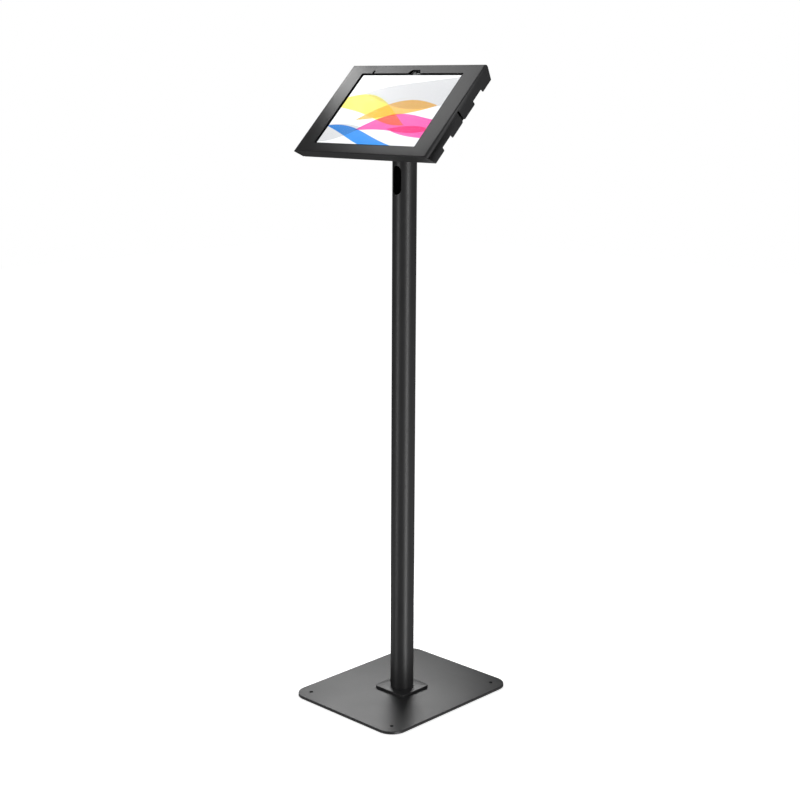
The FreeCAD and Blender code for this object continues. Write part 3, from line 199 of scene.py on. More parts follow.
class Finishes(PropertyGroup):
    coat: colour("Powder coat", "Colour of the powder coat", (0.0165, 0.0165, 0.0172))
    coat_roughness: factor("Coat roughness", "Roughness of the powder coat", 0.40)
    peel_size: length("Peel size", "Size of the powder coat's fine waves", 0.0011)
    zinc: colour("Zinc", "Colour of the plated screws and nuts", (0.62, 0.62, 0.64))
    steel: colour("Bare steel", "Colour of the bare steel pins", (0.46, 0.46, 0.48))
    chrome: colour("Lock plating", "Colour of the lock's plating", (0.72, 0.72, 0.74))
    anodised: colour("Anodised plug", "Colour of the plug at the pole's top", (0.05, 0.05, 0.055))
    rubber: colour("Rubber", "Colour of the rubber parts", (0.022, 0.022, 0.023))
    foam: colour("Foam", "Colour of the foam strips", (0.045, 0.045, 0.05))
    # Near-black sheet in the side slot: painted shade.
    felt: colour("Felt", "Colour of the felt strip behind the side slot", (0.004, 0.004, 0.004))
    nylon: colour("Nylon", "Colour of the nylon washers", (0.78, 0.77, 0.72))
    shell: colour("Tablet shell", "Colour of the tablet's aluminium shell", (0.020, 0.021, 0.022))
    border: colour("Glass border", "Colour of the black border under the glass", (0.002, 0.002, 0.0022))
    # Grey patch beside the front camera, lighter than the black border: painted reflection.
    smoked: colour("Sensor window", "Colour of the sensor window beside the front camera", (0.055, 0.055, 0.055))
    board: colour("Board", "Colour of the tablet's circuit board", (0.02, 0.13, 0.07))
    battery: colour("Battery film", "Colour of the tablet's battery", (0.05, 0.05, 0.055))


class ScreenColours(PropertyGroup):
    paper: colour("Paper", "Ground of the screen's picture", (0.93, 0.93, 0.94))
    shade: colour("Shade", "Pale grey leaves of the screen's picture", (0.70, 0.70, 0.71))
    yellow: colour("Yellow", "Yellow leaf of the screen's picture", (1.0, 0.90, 0.14))
    orange: colour("Orange", "Orange leaf of the screen's picture", (1.0, 0.56, 0.14))
    pink: colour("Pink", "Pink leaves of the screen's picture", (1.0, 0.12, 0.46))
    blue: colour("Blue", "Blue leaf of the screen's picture", (0.03, 0.30, 0.90))
    light: factor("Screen light", "Strength of the lit screen", 0.97, 5.0)


class StageLook(PropertyGroup):
    floor: colour("Floor", "Colour of the floor", (0.86, 0.86, 0.86))
    floor_glow: factor("Floor glow", "Light of the floor in the camera's own view", 0.62)
    room: factor("Room light", "Strength of the room's even light", 0.5, 5.0)
    room_gloss: factor("Room gloss", "How bright the dark side of the room is in reflections", 0.09, 5.0)
    backdrop: factor("Backdrop", "How bright the white backdrop is in reflections", 0.1, 5.0)
    upper_box: factor("Upper box", "Brightness of the soft box at the upper left corner", 7.4, 50.0)
    right_box: factor("Right box", "Brightness of the soft box that lights the face's right half", 1.86, 50.0)
    front_strip: factor("Front strip", "Brightness of the strip light in front", 7.6, 50.0)
    side_strip: factor("Side strip", "Brightness of the strip light at the right", 8.0, 50.0)
    low_box: factor("Low box", "Brightness of the low soft box at the left", 2.9, 50.0)
    fold_box: factor("Fold box", "Brightness of the soft box that lights the side fold", 0.6, 50.0)
    fold_top: factor("Fold top", "Brightness of the soft box above the side fold", 1.8, 50.0)
    side_low: factor("Side low strip", "Brightness of the strip light low at the right", 1.9, 50.0)
    side_fill: factor("Side fill", "Brightness of the wide low panel at the right", 0.25, 50.0)
    left_fill: factor("Left fill", "Brightness of the low panel at the left", 0.35, 50.0)
    wall_box: factor("Wall box", "Brightness of the soft box that the lower sloping wall reflects", 0.12, 50.0)


# Shaping

def joined(solids):
    """Puts several shapes into one."""
    whole = bmesh.new()
    for solid in solids:
        carrier = bpy.data.meshes.new("carrier")
        solid.to_mesh(carrier)
        solid.free()
        whole.from_mesh(carrier)
        bpy.data.meshes.remove(carrier)
    return whole


def brick(low, high):
    """A block between two corners."""
    shape = bmesh.new()
    low, high = Vector(low), Vector(high)
    bmesh.ops.create_cube(shape, size=1.0)
    bmesh.ops.scale(shape, vec=high - low, verts=shape.verts)
    bmesh.ops.translate(shape, vec=(low + high) / 2, verts=shape.verts)
    return shape


def round_over(shape, edges, radius, segments=6):
    """Rounds the given edges and returns the shape."""
    bmesh.ops.bevel(shape, geom=edges, offset=radius, offset_type="OFFSET", segments=segments, profile=0.5,
                    affect="EDGES", material=-1, clamp_overlap=True)
    return shape


def edges_along(shape, axis):
    """The straight edges that run along one axis."""
    mostly = 0.9
    return [e for e in shape.edges if abs((e.verts[0].co - e.verts[1].co).normalized()[axis]) > mostly]


def edges_at(shape, height):
    """The edges that lie at one height."""
    return [e for e in shape.edges if all(abs(v.co.z - height) < SAME for v in e.verts)]


def folds_of(shape, axis, front):
    """The edges along one axis whose first point lies at the front face."""
    return [e for e in edges_along(shape, axis) if e.verts[0].co.z > front - SAME]


def slab(width, height, corner, low, high, segments=10, middle=(0.0, 0.0)):
    """A flat plate with rounded corners."""
    x, y = middle
    shape = brick((x - width / 2, y - height / 2, low), (x + width / 2, y + height / 2, high))
    return round_over(shape, edges_along(shape, 2), corner, segments)


def rod(radius, start, end, segments=KNOB_SIDES, end_radius=None, rim=0.0, rim_segments=3):
    """A round bar or cone from one point to another, with its far rim rounded if asked."""
    start, end = Vector(start), Vector(end)
    shape = bmesh.new()
    span = (end - start).length
    bmesh.ops.create_cone(shape, cap_ends=True, cap_tris=False, segments=segments, radius1=radius,
                          radius2=radius if end_radius is None else end_radius, depth=span)
    if rim:
        round_over(shape, edges_at(shape, span / 2), rim, rim_segments)
    turn = Vector(UP).rotation_difference(end - start).to_matrix().to_4x4()
    return moved(shape, Matrix.Translation((start + end) / 2) @ turn)


def rods(radius, places, low, high, segments=KNOB_SIDES, **more):
    """Upright rods of one kind, one at each place."""
    return [rod(radius, (x, y, low), (x, y, high), segments, **more) for x, y in places]


def swept(outline, travel):
    """A flat outline carried along a straight line."""
    shape = bmesh.new()
    face = shape.faces.new([shape.verts.new(Vector(p)) for p in outline])
    grown = bmesh.ops.extrude_face_region(shape, geom=[face])
    far = [g for g in grown["geom"] if isinstance(g, bmesh.types.BMVert)]
    bmesh.ops.translate(shape, vec=Vector(travel), verts=far)
    bmesh.ops.recalc_face_normals(shape, faces=shape.faces)
    return shape


def oval(long, wide, middle, along, through, depth, segments=48):
    """A slot-shaped bar: long and wide are its whole sizes, through is the way it runs."""
    along, through = Vector(along), Vector(through)
    shape = bmesh.new()
    bmesh.ops.create_circle(shape, cap_ends=True, segments=segments, radius=wide / 2)
    half = (long - wide) / 2
    for way in (-1, 1):
        side = [v for v in shape.verts if v.co.x * way > SAME / 10]
        bmesh.ops.translate(shape, vec=(way * half, 0, 0), verts=side)
    grown = bmesh.ops.extrude_face_region(shape, geom=shape.faces[:])
    far = [g for g in grown["geom"] if isinstance(g, bmesh.types.BMVert)]
    bmesh.ops.translate(shape, vec=(0, 0, depth), verts=far)
    bmesh.ops.recalc_face_normals(shape, faces=shape.faces)
    across = through.cross(along)
    turn = Matrix((along, across, through)).transposed().to_4x4()
    return moved(shape, Matrix.Translation(Vector(middle)) @ turn)


def hexagon(across, start, end):
    """A hexagonal bar of a given width across its flats."""
    return rod(across / math.sqrt(3), start, end, 6)


def ring(outer, inner, low, high, segments=KNOB_SIDES, rim=0.0):
    """A washer about the Z axis, made by spinning its section."""
    shape = bmesh.new()
    corners = [(inner, 0, low), (outer, 0, low), (outer, 0, high), (inner, 0, high)]
    section = shape.faces.new([shape.verts.new(c) for c in corners])
    if rim:
        round_over(shape, section.edges[:], rim, 2)
    bmesh.ops.spin(shape, geom=shape.faces[:] + shape.edges[:] + shape.verts[:], axis=UP, cent=(0, 0, 0),
                   angle=math.tau, steps=segments, use_merge=True)
    bmesh.ops.remove_doubles(shape, verts=shape.verts, dist=SAME / 10)
    bmesh.ops.recalc_face_normals(shape, faces=shape.faces)
    return shape


def moved(shape, matrix):
    """Carries a shape to another place and returns it."""
    bmesh.ops.transform(shape, matrix=matrix, verts=shape.verts)
    return shape


def four(half_x, half_y):
    """The corners of a rectangle about the middle."""
    return [(sx * half_x, sy * half_y) for sx in (-1, 1) for sy in (-1, 1)]


def head_place(context):
    """Carries a shape from the head's own frame, level with its origin on the tilt bolt, to its place."""
    head = context.scene.stand_head
    return Matrix.Translation((0, 0, head.pivot)) @ Matrix.Rotation(head.tilt, 4, "X")


def to_object(name, shape):
    """Turns a shape into an object of the scene."""
    mesh = bpy.data.meshes.new(name)
    shape.to_mesh(mesh)
    shape.free()
    thing = bpy.data.objects.new(name, mesh)
    bpy.context.scene.collection.objects.link(thing)
    return thing


def worked(thing, operation, tool_shapes):
    """Adds one solid operation to a piece and returns its tool."""
    tool = to_object("tool", joined(tool_shapes))
    step = thing.modifiers.new(operation.lower(), "BOOLEAN")
    step.operation = operation
    step.object = tool
    step.solver = "EXACT"
    step.use_self = len(tool_shapes) > 1
    return tool


def work_solid(thing, add, keep, cut):
    """Adds the solid operations of a piece in their order and returns their tools."""
    tools = [worked(thing, "UNION", [extra]) for extra in add]
    if keep:
        tools.append(worked(thing, "INTERSECT", list(keep)))
    if cut:
        tools.append(worked(thing, "DIFFERENCE", list(cut)))
    return tools


def make_piece(name, shape, body, stands_for, finish, put=None, add=(), keep=(), cut=(), edge=0.0002, steps=2,
               sharp=32.0):
    """Builds one piece: adds, trims and cuts it, softens its edges and gives it body and finish."""
    thing = to_object(name, shape)
    thing.data.shade_smooth()
    tools = work_solid(thing, add, keep, cut)
    if edge:
        soft = thing.modifiers.new("edges", "BEVEL")
        soft.width = edge
        soft.segments = steps
        soft.limit_method = "ANGLE"
        soft.angle_limit = math.radians(sharp)
        soft.use_clamp_overlap = False
        flat = thing.modifiers.new("shading", "WEIGHTED_NORMAL")
        flat.keep_sharp = True
    settle(thing, sharp)
    for tool in tools:
        bpy.data.meshes.remove(tool.data)
    if put is not None:
        thing.data.transform(put)
    give_finish(thing, finish)
    if stands_for:
        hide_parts(*stands_for)
    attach(thing, body)


def give_finish(thing, finish):
    thing.data.materials.clear()
    thing.data.materials.append(bpy.data.materials[FINISH_OF[finish][0]])


def solid_result(shape, add=(), cut=(), keep=()):
    """Adds, trims and cuts shapes at once and returns the result as a shape."""
    thing = to_object("work", shape)
    tools = work_solid(thing, add, keep, cut)
    settle(thing, 30.0)
    for tool in tools:
        bpy.data.meshes.remove(tool.data)
    result = bmesh.new()
    result.from_mesh(thing.data)
    bpy.data.meshes.remove(thing.data)
    return result


def settle(thing, sharp):
    """Turns a piece's modifiers into its mesh."""
    bpy.context.view_layer.update()
    ready = thing.evaluated_get(bpy.context.evaluated_depsgraph_get())
    solid = bpy.data.meshes.new_from_object(ready)
    if not solid.polygons:
        raise RuntimeError(thing.name + " came out empty")
    rough = thing.data
    thing.modifiers.clear()
    thing.data = solid
    bpy.data.meshes.remove(rough)
    solid.name = thing.name
    solid.shade_smooth()
    if not solid.has_custom_normals:
        solid.set_sharp_from_angle(angle=math.radians(sharp))


# Finishes: each entry gives the Blender material and the record's slot

FINISH_OF = {
    "coat": ("black_powder_coat", "black_coat"),
    "zinc": ("zinc_plate", "zinc_steel"),
    "steel": ("bare_steel", "plain_steel"),
    "chrome": ("lock_plating", "lock_metal"),
    "anodised": ("anodised_plug", "plug_metal"),
    "rubber": ("moulded_rubber", "pad_rubber"),
    "foam": ("closed_foam", "foam"),
    "felt": ("black_felt", "foam"),
    "nylon": ("turned_nylon", "nylon"),
    "shell": ("blasted_aluminium", "tablet_shell"),
    "glass": ("clear_glass", "cover_glass"),
    "border": ("black_border", "lens"),
    "smoked": ("smoked_window", "lens"),
    "screen": ("lit_screen", "screen"),
    "lens": ("camera_lens", "lens"),
    "battery": ("battery_film", "battery_wrap"),
    "board": ("circuit_board", "board"),
}


# Places of the Mix node's sockets: its numbers and its colours have the same names
MIX_FACTOR = 0
MIX_NUMBERS = (2, 3)
MIX_COLOURS = (6, 7)
MIXED_NUMBER = 0
MIXED_COLOUR = 2


def feed(tree, socket, value):
    """Links a node's output to a socket, or sets the socket to a plain value."""
    if isinstance(value, bpy.types.NodeSocket):
        tree.links.new(value, socket)
    else:
        socket.default_value = value


def node(tree, kind, feeds=None, **settings):
    """Adds a shader node; feeds maps its inputs to values or to other nodes' outputs."""
    made = tree.nodes.new(kind)
    for key, value in settings.items():
        setattr(made, key, value)
    for key, value in (feeds or {}).items():
        feed(tree, made.inputs[key], value)
    return made


def worked_out(tree, operation, *values):
    """One step of arithmetic on numbers or on other nodes' outputs."""
    made = node(tree, "ShaderNodeMath", operation=operation)
    for socket, value in zip(made.inputs, values):
        feed(tree, socket, value)
    return made.outputs[0]


def mixed(tree, amount, first, second, blend="MIX"):
    """Mixes two colours."""
    made = node(tree, "ShaderNodeMix", data_type="RGBA", blend_type=blend)
    for place, value in zip((MIX_FACTOR, *MIX_COLOURS), (amount, first, second)):
        feed(tree, made.inputs[place], value)
    return made.outputs[MIXED_COLOUR]


def mixed_numbers(tree, amount, first, second):
    made = node(tree, "ShaderNodeMix")
    for place, value in zip((MIX_FACTOR, *MIX_NUMBERS), (amount, first, second)):
        feed(tree, made.inputs[place], value)
    return made.outputs[MIXED_NUMBER]


def ranged(tree, value, low, high, to_low=0.0, to_high=1.0, smooth=False):
    """Carries the values between low and high to another range, and holds them at its ends."""
    ends = {"From Min": low, "From Max": high, "To Min": to_low, "To Max": to_high}
    made = node(tree, "ShaderNodeMapRange", {"Value": value, **ends},
                interpolation_type="SMOOTHSTEP" if smooth else "LINEAR")
    return made.outputs["Result"]


def new_group(name, numbers, outputs):
    """A shader node group: its inputs are a vector and named numbers, its outputs are numbers."""
    tree = bpy.data.node_groups.new(name, "ShaderNodeTree")
    tree.interface.new_socket(name="Vector", in_out="INPUT", socket_type="NodeSocketVector")
    for label, default in numbers.items():
        socket = tree.interface.new_socket(name=label, in_out="INPUT", socket_type="NodeSocketFloat")
        socket.default_value = default
    for label in outputs:
        tree.interface.new_socket(name=label, in_out="OUTPUT", socket_type="NodeSocketFloat")
    return tree, tree.nodes.new("NodeGroupInput").outputs, tree.nodes.new("NodeGroupOutput").inputs


def fine_waves_group():
    """The small waves and soft blotches of a sprayed, moulded or blasted skin."""
    tree, given, out = new_group("fine_waves", {"Scale": 900.0, "Blotch": 9.0}, ("Height", "Blotches"))
    grit_finer, grit_share = 3.1, 0.25
    wave = node(tree, "ShaderNodeTexNoise", {"Vector": given["Vector"], "Scale": given["Scale"], "Detail": 1.5,
                                             "Roughness": 0.45})
    grit_scale = worked_out(tree, "MULTIPLY", given["Scale"], grit_finer)
    grit = node(tree, "ShaderNodeTexNoise", {"Vector": given["Vector"], "Scale": grit_scale, "Detail": 1.0})
    height = worked_out(tree, "MULTIPLY_ADD", grit.outputs["Fac"], grit_share, wave.outputs["Fac"])
    cloud = node(tree, "ShaderNodeTexNoise", {"Vector": given["Vector"], "Scale": given["Blotch"], "Detail": 4.0,
                                              "Roughness": 0.6, "Distortion": 0.4})
    tree.links.new(height, out["Height"])
    tree.links.new(ranged(tree, cloud.outputs["Fac"], 0.32, 0.68), out["Blotches"])


def dust_group():
    """Sparse fine dust that lies on a surface, more of it on faces that look up."""
    tree, given, out = new_group("fine_dust", {"Scale": 700.0, "Amount": 0.4}, ("Dust",))
    grain = node(tree, "ShaderNodeTexVoronoi", {"Vector": given["Vector"], "Scale": given["Scale"],
                                                "Randomness": 1.0})
    speck = ranged(tree, grain.outputs["Distance"], 0.16, 0.05, smooth=True)
    cloud = node(tree, "ShaderNodeTexNoise", {"Vector": given["Vector"], "Scale": 14.0, "Detail": 3.0})
    patch = ranged(tree, cloud.outputs["Fac"], 0.45, 0.75)
    normal = node(tree, "ShaderNodeNewGeometry").outputs["Normal"]
    lying = ranged(tree, node(tree, "ShaderNodeSeparateXYZ", {"Vector": normal}).outputs["Z"], 0.2, 1.0)
    dust = worked_out(tree, "MULTIPLY", worked_out(tree, "MULTIPLY", speck, patch), lying)
    tree.links.new(worked_out(tree, "MULTIPLY", dust, given["Amount"]), out["Dust"])


def tool_lines_group():
    """Fine lines left by turning, drawing or brushing, along X."""
    tree, given, out = new_group("tool_lines", {"Scale": 1500.0}, ("Lines", "Blotches"))
    stretched = node(tree, "ShaderNodeMapping", {"Vector": given["Vector"], "Scale": (0.04, 1.0, 1.0)})
    lines = node(tree, "ShaderNodeTexNoise", {"Vector": stretched.outputs[0], "Scale": given["Scale"],
                                              "Detail": 2.0})
    cloud = node(tree, "ShaderNodeTexNoise", {"Vector": given["Vector"], "Scale": 160.0, "Detail": 3.0})
    tree.links.new(lines.outputs["Fac"], out["Lines"])
    tree.links.new(ranged(tree, cloud.outputs["Fac"], 0.3, 0.7), out["Blotches"])


def pores_group():
    """Round pores of foam and the fine pits of rubber; Shade is darkest in each pore's middle, where Height is
    lowest: painted shade in the pits.
    """
    tree, given, out = new_group("pores", {"Scale": 1400.0}, ("Height", "Shade"))
    cell = node(tree, "ShaderNodeTexVoronoi", {"Vector": given["Vector"], "Scale": given["Scale"]})
    tree.links.new(ranged(tree, cell.outputs["Distance"], 0.1, 0.6, smooth=True), out["Height"])
    # Darker towards each pore's middle: painted shade in the pits.
    tree.links.new(ranged(tree, cell.outputs["Distance"], 0.0, 0.5), out["Shade"])


def new_material(name, settings=None):
    """A material with only its shader and output; settings are the shader's plain values."""
    material = bpy.data.materials.new(name)
    material.use_nodes = True
    tree = material.node_tree
    tree.nodes.clear()
    shader = tree.nodes.new("ShaderNodeBsdfPrincipled")
    output = tree.nodes.new("ShaderNodeOutputMaterial")
    tree.links.new(shader.outputs[0], output.inputs["Surface"])
    for key, value in (settings or {}).items():
        shader.inputs[key].default_value = value
    spot = tree.nodes.new("ShaderNodeTexCoord").outputs["Object"]
    return material, tree, shader, spot


def use_group(tree, name, feeds):
    """Places a shader node group and returns its outputs."""
    made = node(tree, "ShaderNodeGroup", node_tree=bpy.data.node_groups[name])
    for key, value in feeds.items():
        feed(tree, made.inputs[key], value)
    return made.outputs


def bumped(tree, shader, height, depth):
    bump = node(tree, "ShaderNodeBump", {"Height": height, "Strength": 1.0, "Distance": depth})
    tree.links.new(bump.outputs[0], shader.inputs["Normal"])


def times(tone, by):
    """A colour made lighter or darker."""
    return tuple(min(1.0, c * by) for c in tone) + (1.0,)


DUST_COLOUR = (0.42, 0.41, 0.39, 1.0)


def sprayed(name, tone, roughness, wave_scale, depth, dust, settings):
    """Powder coat, anodising, moulded plastic or blasted metal: fine waves, soft blotches and a little dust."""
    tree, shader, spot = new_material(name, settings)[1:]
    skin = use_group(tree, "fine_waves", {"Vector": spot, "Scale": wave_scale})
    ground = mixed(tree, skin["Blotches"], times(tone, 0.92), times(tone, 1.10))
    if dust:
        specks = use_group(tree, "fine_dust", {"Vector": spot, "Amount": dust})["Dust"]
        ground = mixed(tree, specks, ground, DUST_COLOUR)
    tree.links.new(ground, shader.inputs["Base Color"])
    tree.links.new(ranged(tree, skin["Blotches"], 0.0, 1.0, roughness - 0.03, roughness + 0.03),
                   shader.inputs["Roughness"])
    bumped(tree, shader, skin["Height"], depth)


def drawn_metal(name, tone, roughness, line_scale=1500.0, depth=0.000006):
    """Plated or bare metal with fine tool lines."""
    tree, shader, spot = new_material(name, {"Metallic": 1.0})[1:]
    lines = use_group(tree, "tool_lines", {"Vector": spot, "Scale": line_scale})
    ground = mixed(tree, lines["Blotches"], times(tone, 0.86), times(tone, 1.06))
    tree.links.new(ground, shader.inputs["Base Color"])
    tree.links.new(ranged(tree, lines["Blotches"], 0.0, 1.0, roughness - 0.05, roughness + 0.08),
                   shader.inputs["Roughness"])
    bumped(tree, shader, lines["Lines"], depth)


def pitted(name, tone, roughness, pore_scale, depth, gloss=0.5):
    """Rubber, foam and the near-black sheet of painted shade in the side slot; the colour darkens in each pore:
    painted shade in the pits.
    """
    tree, shader, spot = new_material(name, {"Roughness": roughness, "Specular IOR Level": gloss})[1:]
    pores = use_group(tree, "pores", {"Vector": spot, "Scale": pore_scale})
    # Darker inside each pit: painted shade.
    tree.links.new(mixed(tree, pores["Shade"], times(tone, 0.7), times(tone, 1.15)), shader.inputs["Base Color"])
    bumped(tree, shader, pores["Height"], depth)


def leaf(tree, across, up, base, rise, swing, waves, phase, middle, reach, width):
    """1 inside a long leaf that lies on a wave across the screen, 0 outside it."""
    soft = 0.003
    angle = worked_out(tree, "MULTIPLY_ADD", across, waves * math.tau, phase)
    line = worked_out(tree, "MULTIPLY_ADD", across, rise, base)
    bend = worked_out(tree, "MULTIPLY_ADD", worked_out(tree, "SINE", angle), swing, line)
    off = worked_out(tree, "ABSOLUTE", worked_out(tree, "SUBTRACT", up, bend))
    along = worked_out(tree, "MULTIPLY", worked_out(tree, "SUBTRACT", across, middle), 1.0 / reach)
    full = worked_out(tree, "SUBTRACT", 1.0, worked_out(tree, "MULTIPLY", along, along))
    half = worked_out(tree, "MULTIPLY", full, width)
    return ranged(tree, worked_out(tree, "SUBTRACT", half, off), -soft, soft, smooth=True)


def screen_picture(colours):
    """A plain made-up picture of see-through coloured leaves on white, lit from behind."""
    tree, shader, _ = new_material("lit_screen", {
        "Emission Strength": colours.light, "Roughness": 0.35, "Specular IOR Level": 0.1})[1:]
    uv = node(tree, "ShaderNodeUVMap", uv_map="screen").outputs[0]
    parts = node(tree, "ShaderNodeSeparateXYZ", {"Vector": uv}).outputs
    across, up = parts["X"], parts["Y"]
    fade = ranged(tree, worked_out(tree, "SUBTRACT", across, up), -0.9, 0.6, smooth=True)
    picture = mixed(tree, fade, WHITE, times(colours.paper, 1.0))
    # base, rise, swing, waves, phase, middle, reach and width of each leaf
    for tone, shape in (
            (colours.shade, (0.66, 0.14, 0.05, 0.70, 1.3, 0.86, 0.72, 0.21)),
            (colours.shade, (0.16, 0.34, 0.05, 0.60, 3.6, 0.02, 0.34, 0.13)),
            (colours.yellow, (0.58, -0.30, 0.07, 0.90, 0.2, 0.30, 0.46, 0.135)),
            (colours.orange, (0.24, 0.38, 0.06, 0.80, 5.2, 0.60, 0.36, 0.105)),
            (colours.pink, (0.10, 0.26, 0.07, 0.95, 4.7, 0.74, 0.44, 0.125)),
            (colours.pink, (0.46, -0.32, 0.05, 0.80, 2.4, 0.92, 0.30, 0.075)),
            (colours.blue, (0.20, -0.24, 0.05, 0.90, 1.1, 0.40, 0.42, 0.080))):
        inside = leaf(tree, across, up, *shape)
        picture = mixed(tree, inside, picture, times(tone, 1.0), blend="MULTIPLY")
    tree.links.new(picture, shader.inputs["Emission Color"])
    tree.links.new(mixed(tree, 0.85, picture, BLACK), shader.inputs["Base Color"])


def clear_glass():
    """Cover glass with faint smudges."""
    tree, shader, spot = new_material("clear_glass", {
        "Base Color": (0.98, 0.99, 0.99, 1.0), "Transmission Weight": 1.0, "IOR": 1.03})[1:]
    smudge = use_group(tree, "fine_waves", {"Vector": spot, "Scale": 60.0, "Blotch": 26.0})
    tree.links.new(ranged(tree, smudge["Blotches"], 0.2, 1.0, 0.0, 0.035), shader.inputs["Roughness"])


class STAND_OT_finishes(Operator):
    """Mixes the powder coat, metals, rubber, foam, glass and the lit screen"""
    bl_idname = "stand.finishes"
    bl_label = "Finishes"

    def execute(self, context):
        looks = context.scene.stand_finishes
        fine_waves_group()
        dust_group()
        tool_lines_group()
        pores_group()
        waves = 1.0 / looks.peel_size
        lens = {"Specular IOR Level": 0.1, "Coat Weight": 0.05, "Coat Roughness": 0.02}
        # name, colour, roughness, how much finer its waves are than the coat's, their depth, dust, plain values
        for name, tone, roughness, finer, depth, dust, settings in (
                ("black_powder_coat", looks.coat, looks.coat_roughness, 1, 0.000045, 0.12, {}),
                ("anodised_plug", looks.anodised, 0.34, 4, 0.00001, 0.0, {"Metallic": 0.6}),
                ("blasted_aluminium", looks.shell, 0.36, 5, 0.000012, 0.0, {"Metallic": 1.0}),
                ("turned_nylon", looks.nylon, 0.42, 2, 0.00002, 0.0, {}),
                ("black_border", looks.border, 0.38, 3, 0.000002, 0.0, {"Specular IOR Level": 0.0}),
                # The grey patch in the camera notch: painted reflection.
                ("smoked_window", looks.smoked, 0.30, 3, 0.000002, 0.0, {"Specular IOR Level": 0.1}),
                ("battery_film", looks.battery, 0.48, 1, 0.00003, 0.0, {}),
                ("camera_lens", looks.border, 0.09, 1, 0.000001, 0.0, lens),
                ("circuit_board", looks.board, 0.38, 2, 0.00003, 0.0, {"Coat Weight": 0.35})):
            sprayed(name, tone, roughness, waves * finer, depth, dust, settings)
        drawn_metal("zinc_plate", looks.zinc, 0.30)
        drawn_metal("bare_steel", looks.steel, 0.34, 2400.0)
        drawn_metal("lock_plating", looks.chrome, 0.16, 2600.0, 0.000003)
        pitted("moulded_rubber", looks.rubber, 0.72, 2200.0, 0.00003)
        pitted("closed_foam", looks.foam, 0.88, 1300.0, 0.00016)
        # The near-black sheet in the side slot: painted shade.
        pitted("black_felt", looks.felt, 0.95, 2600.0, 0.00004, gloss=0.1)
        clear_glass()
        screen_picture(context.scene.stand_screen)
        return {"FINISHED"}


FOOT_SCREW_AT = 0.026           # how far the foot plate's screws lie from the pole's middle, both ways
FOOT_SCREW = 0.003
FOOT_SCREW_HEAD = 0.006
FOOT_SCREW_SINK = 0.0032
FOOT_SCREW_LENGTH = 0.0085
FOOT_SCREW_CLEARANCE = 0.0033   # radius of the base plate's holes for them
FOOT_THREAD_DEPTH = 0.0035
FOOT_RIM = 0.0006
PAD_RIM = 0.0003


class STAND_OT_base(Operator):
    """Base plate with its floor holes, pads, foot plate and the screws from below"""
    bl_idname = "stand.base"
    bl_label = "Base"

    def execute(self, context):
        s = context.scene.stand_sizes
        screws_at = four(FOOT_SCREW_AT, FOOT_SCREW_AT)
        plate = slab(s.base_width, s.base_depth, s.base_corner, s.base_under, s.base_top, 20)
        round_over(plate, edges_at(plate, s.base_top), s.base_rim, 4)
        floor_holes = four(s.base_width / 2 - s.floor_hole_inset, s.base_depth / 2 - s.floor_hole_inset)
        cuts = rods(s.floor_hole, floor_holes, -PAST, s.base_top + PAST, BOLT_SIDES)
        cuts += rods(FOOT_SCREW_CLEARANCE, screws_at, -PAST, s.base_top + PAST, HOLE_SIDES)
        cuts += rods(FOOT_SCREW_HEAD + PLAY, screws_at, s.base_under, s.base_under + FOOT_SCREW_SINK, BOLT_SIDES,
                     end_radius=FOOT_SCREW + PLAY)
        make_piece("base_plate_coated", plate, "stand", ["base_plate"], "coat", cut=cuts, edge=0.0003, sharp=40.0)
        pads = rods(s.pad_radius, four(s.base_width / 2 - s.pad_inset, s.base_depth / 2 - s.pad_inset),
                    s.base_under, 0.0, BOLT_SIDES, rim=PAD_RIM)
        make_piece("base_pads_moulded", joined(pads), "stand", ["base_pads"], "rubber", edge=0.0)
        foot = slab(s.foot_size, s.foot_size, s.foot_corner, s.base_top, s.foot_top, 10)
        round_over(foot, edges_at(foot, s.foot_top), FOOT_RIM, 3)
        hole = rod(s.pole_radius + PLAY, (0, 0, 0), (0, 0, 2 * s.foot_top), PLUG_SIDES)
        blind = rods(FOOT_SCREW + PLAY, screws_at, s.base_top - PAST, s.base_top + FOOT_THREAD_DEPTH, HOLE_SIDES)
        make_piece("foot_plate_coated", foot, "stand", ["pole_flange"], "coat", cut=[hole] + blind, edge=0.0)
        screws = [flat_screw(FOOT_SCREW, FOOT_SCREW_HEAD, FOOT_SCREW_SINK, FOOT_SCREW_LENGTH, (*at, s.base_under), UP)
                  for at in screws_at]
        make_piece("foot_screws_plated", joined(screws), "stand", ["flange_screws"], "zinc", edge=0.0001)
        return {"FINISHED"}


def flat_screw(radius, head, head_height, length, base, way):
    """A countersunk screw with a socket in its flat head."""
    socket_across, socket_depth, rim = 1.1 * radius, 0.7 * head_height, 0.0005
    inside = 0.9        # the shank starts at this part of the head's height
    base, way = Vector(base), Vector(way)
    side = rod(head, base, base + way * head_height, BOLT_SIDES, end_radius=radius)
    shank = rod(radius, base + way * head_height * inside, base + way * length, HOLE_SIDES, rim=rim)
    socket = hexagon(socket_across, base - way * PAST, base + way * socket_depth)
    return solid_result(side, [shank], [socket])


PLUG_DEPTH = 0.028              # how far the plug reaches into the pole
PLUG_CAP = 0.003                # thickness of the cap that shows above the pole
PLUG_CAP_RIM = 0.0008
PLUG_SCREW_HOLE = 0.003
PLUG_SCREW_DROP = 0.012         # how far the plug's set screws lie below the pole's top
PLUG_SCREW_TURNS = (50.0, 130.0)
REACH = 0.03                    # how far a cutting shape reaches to be clear of the pole or the joint


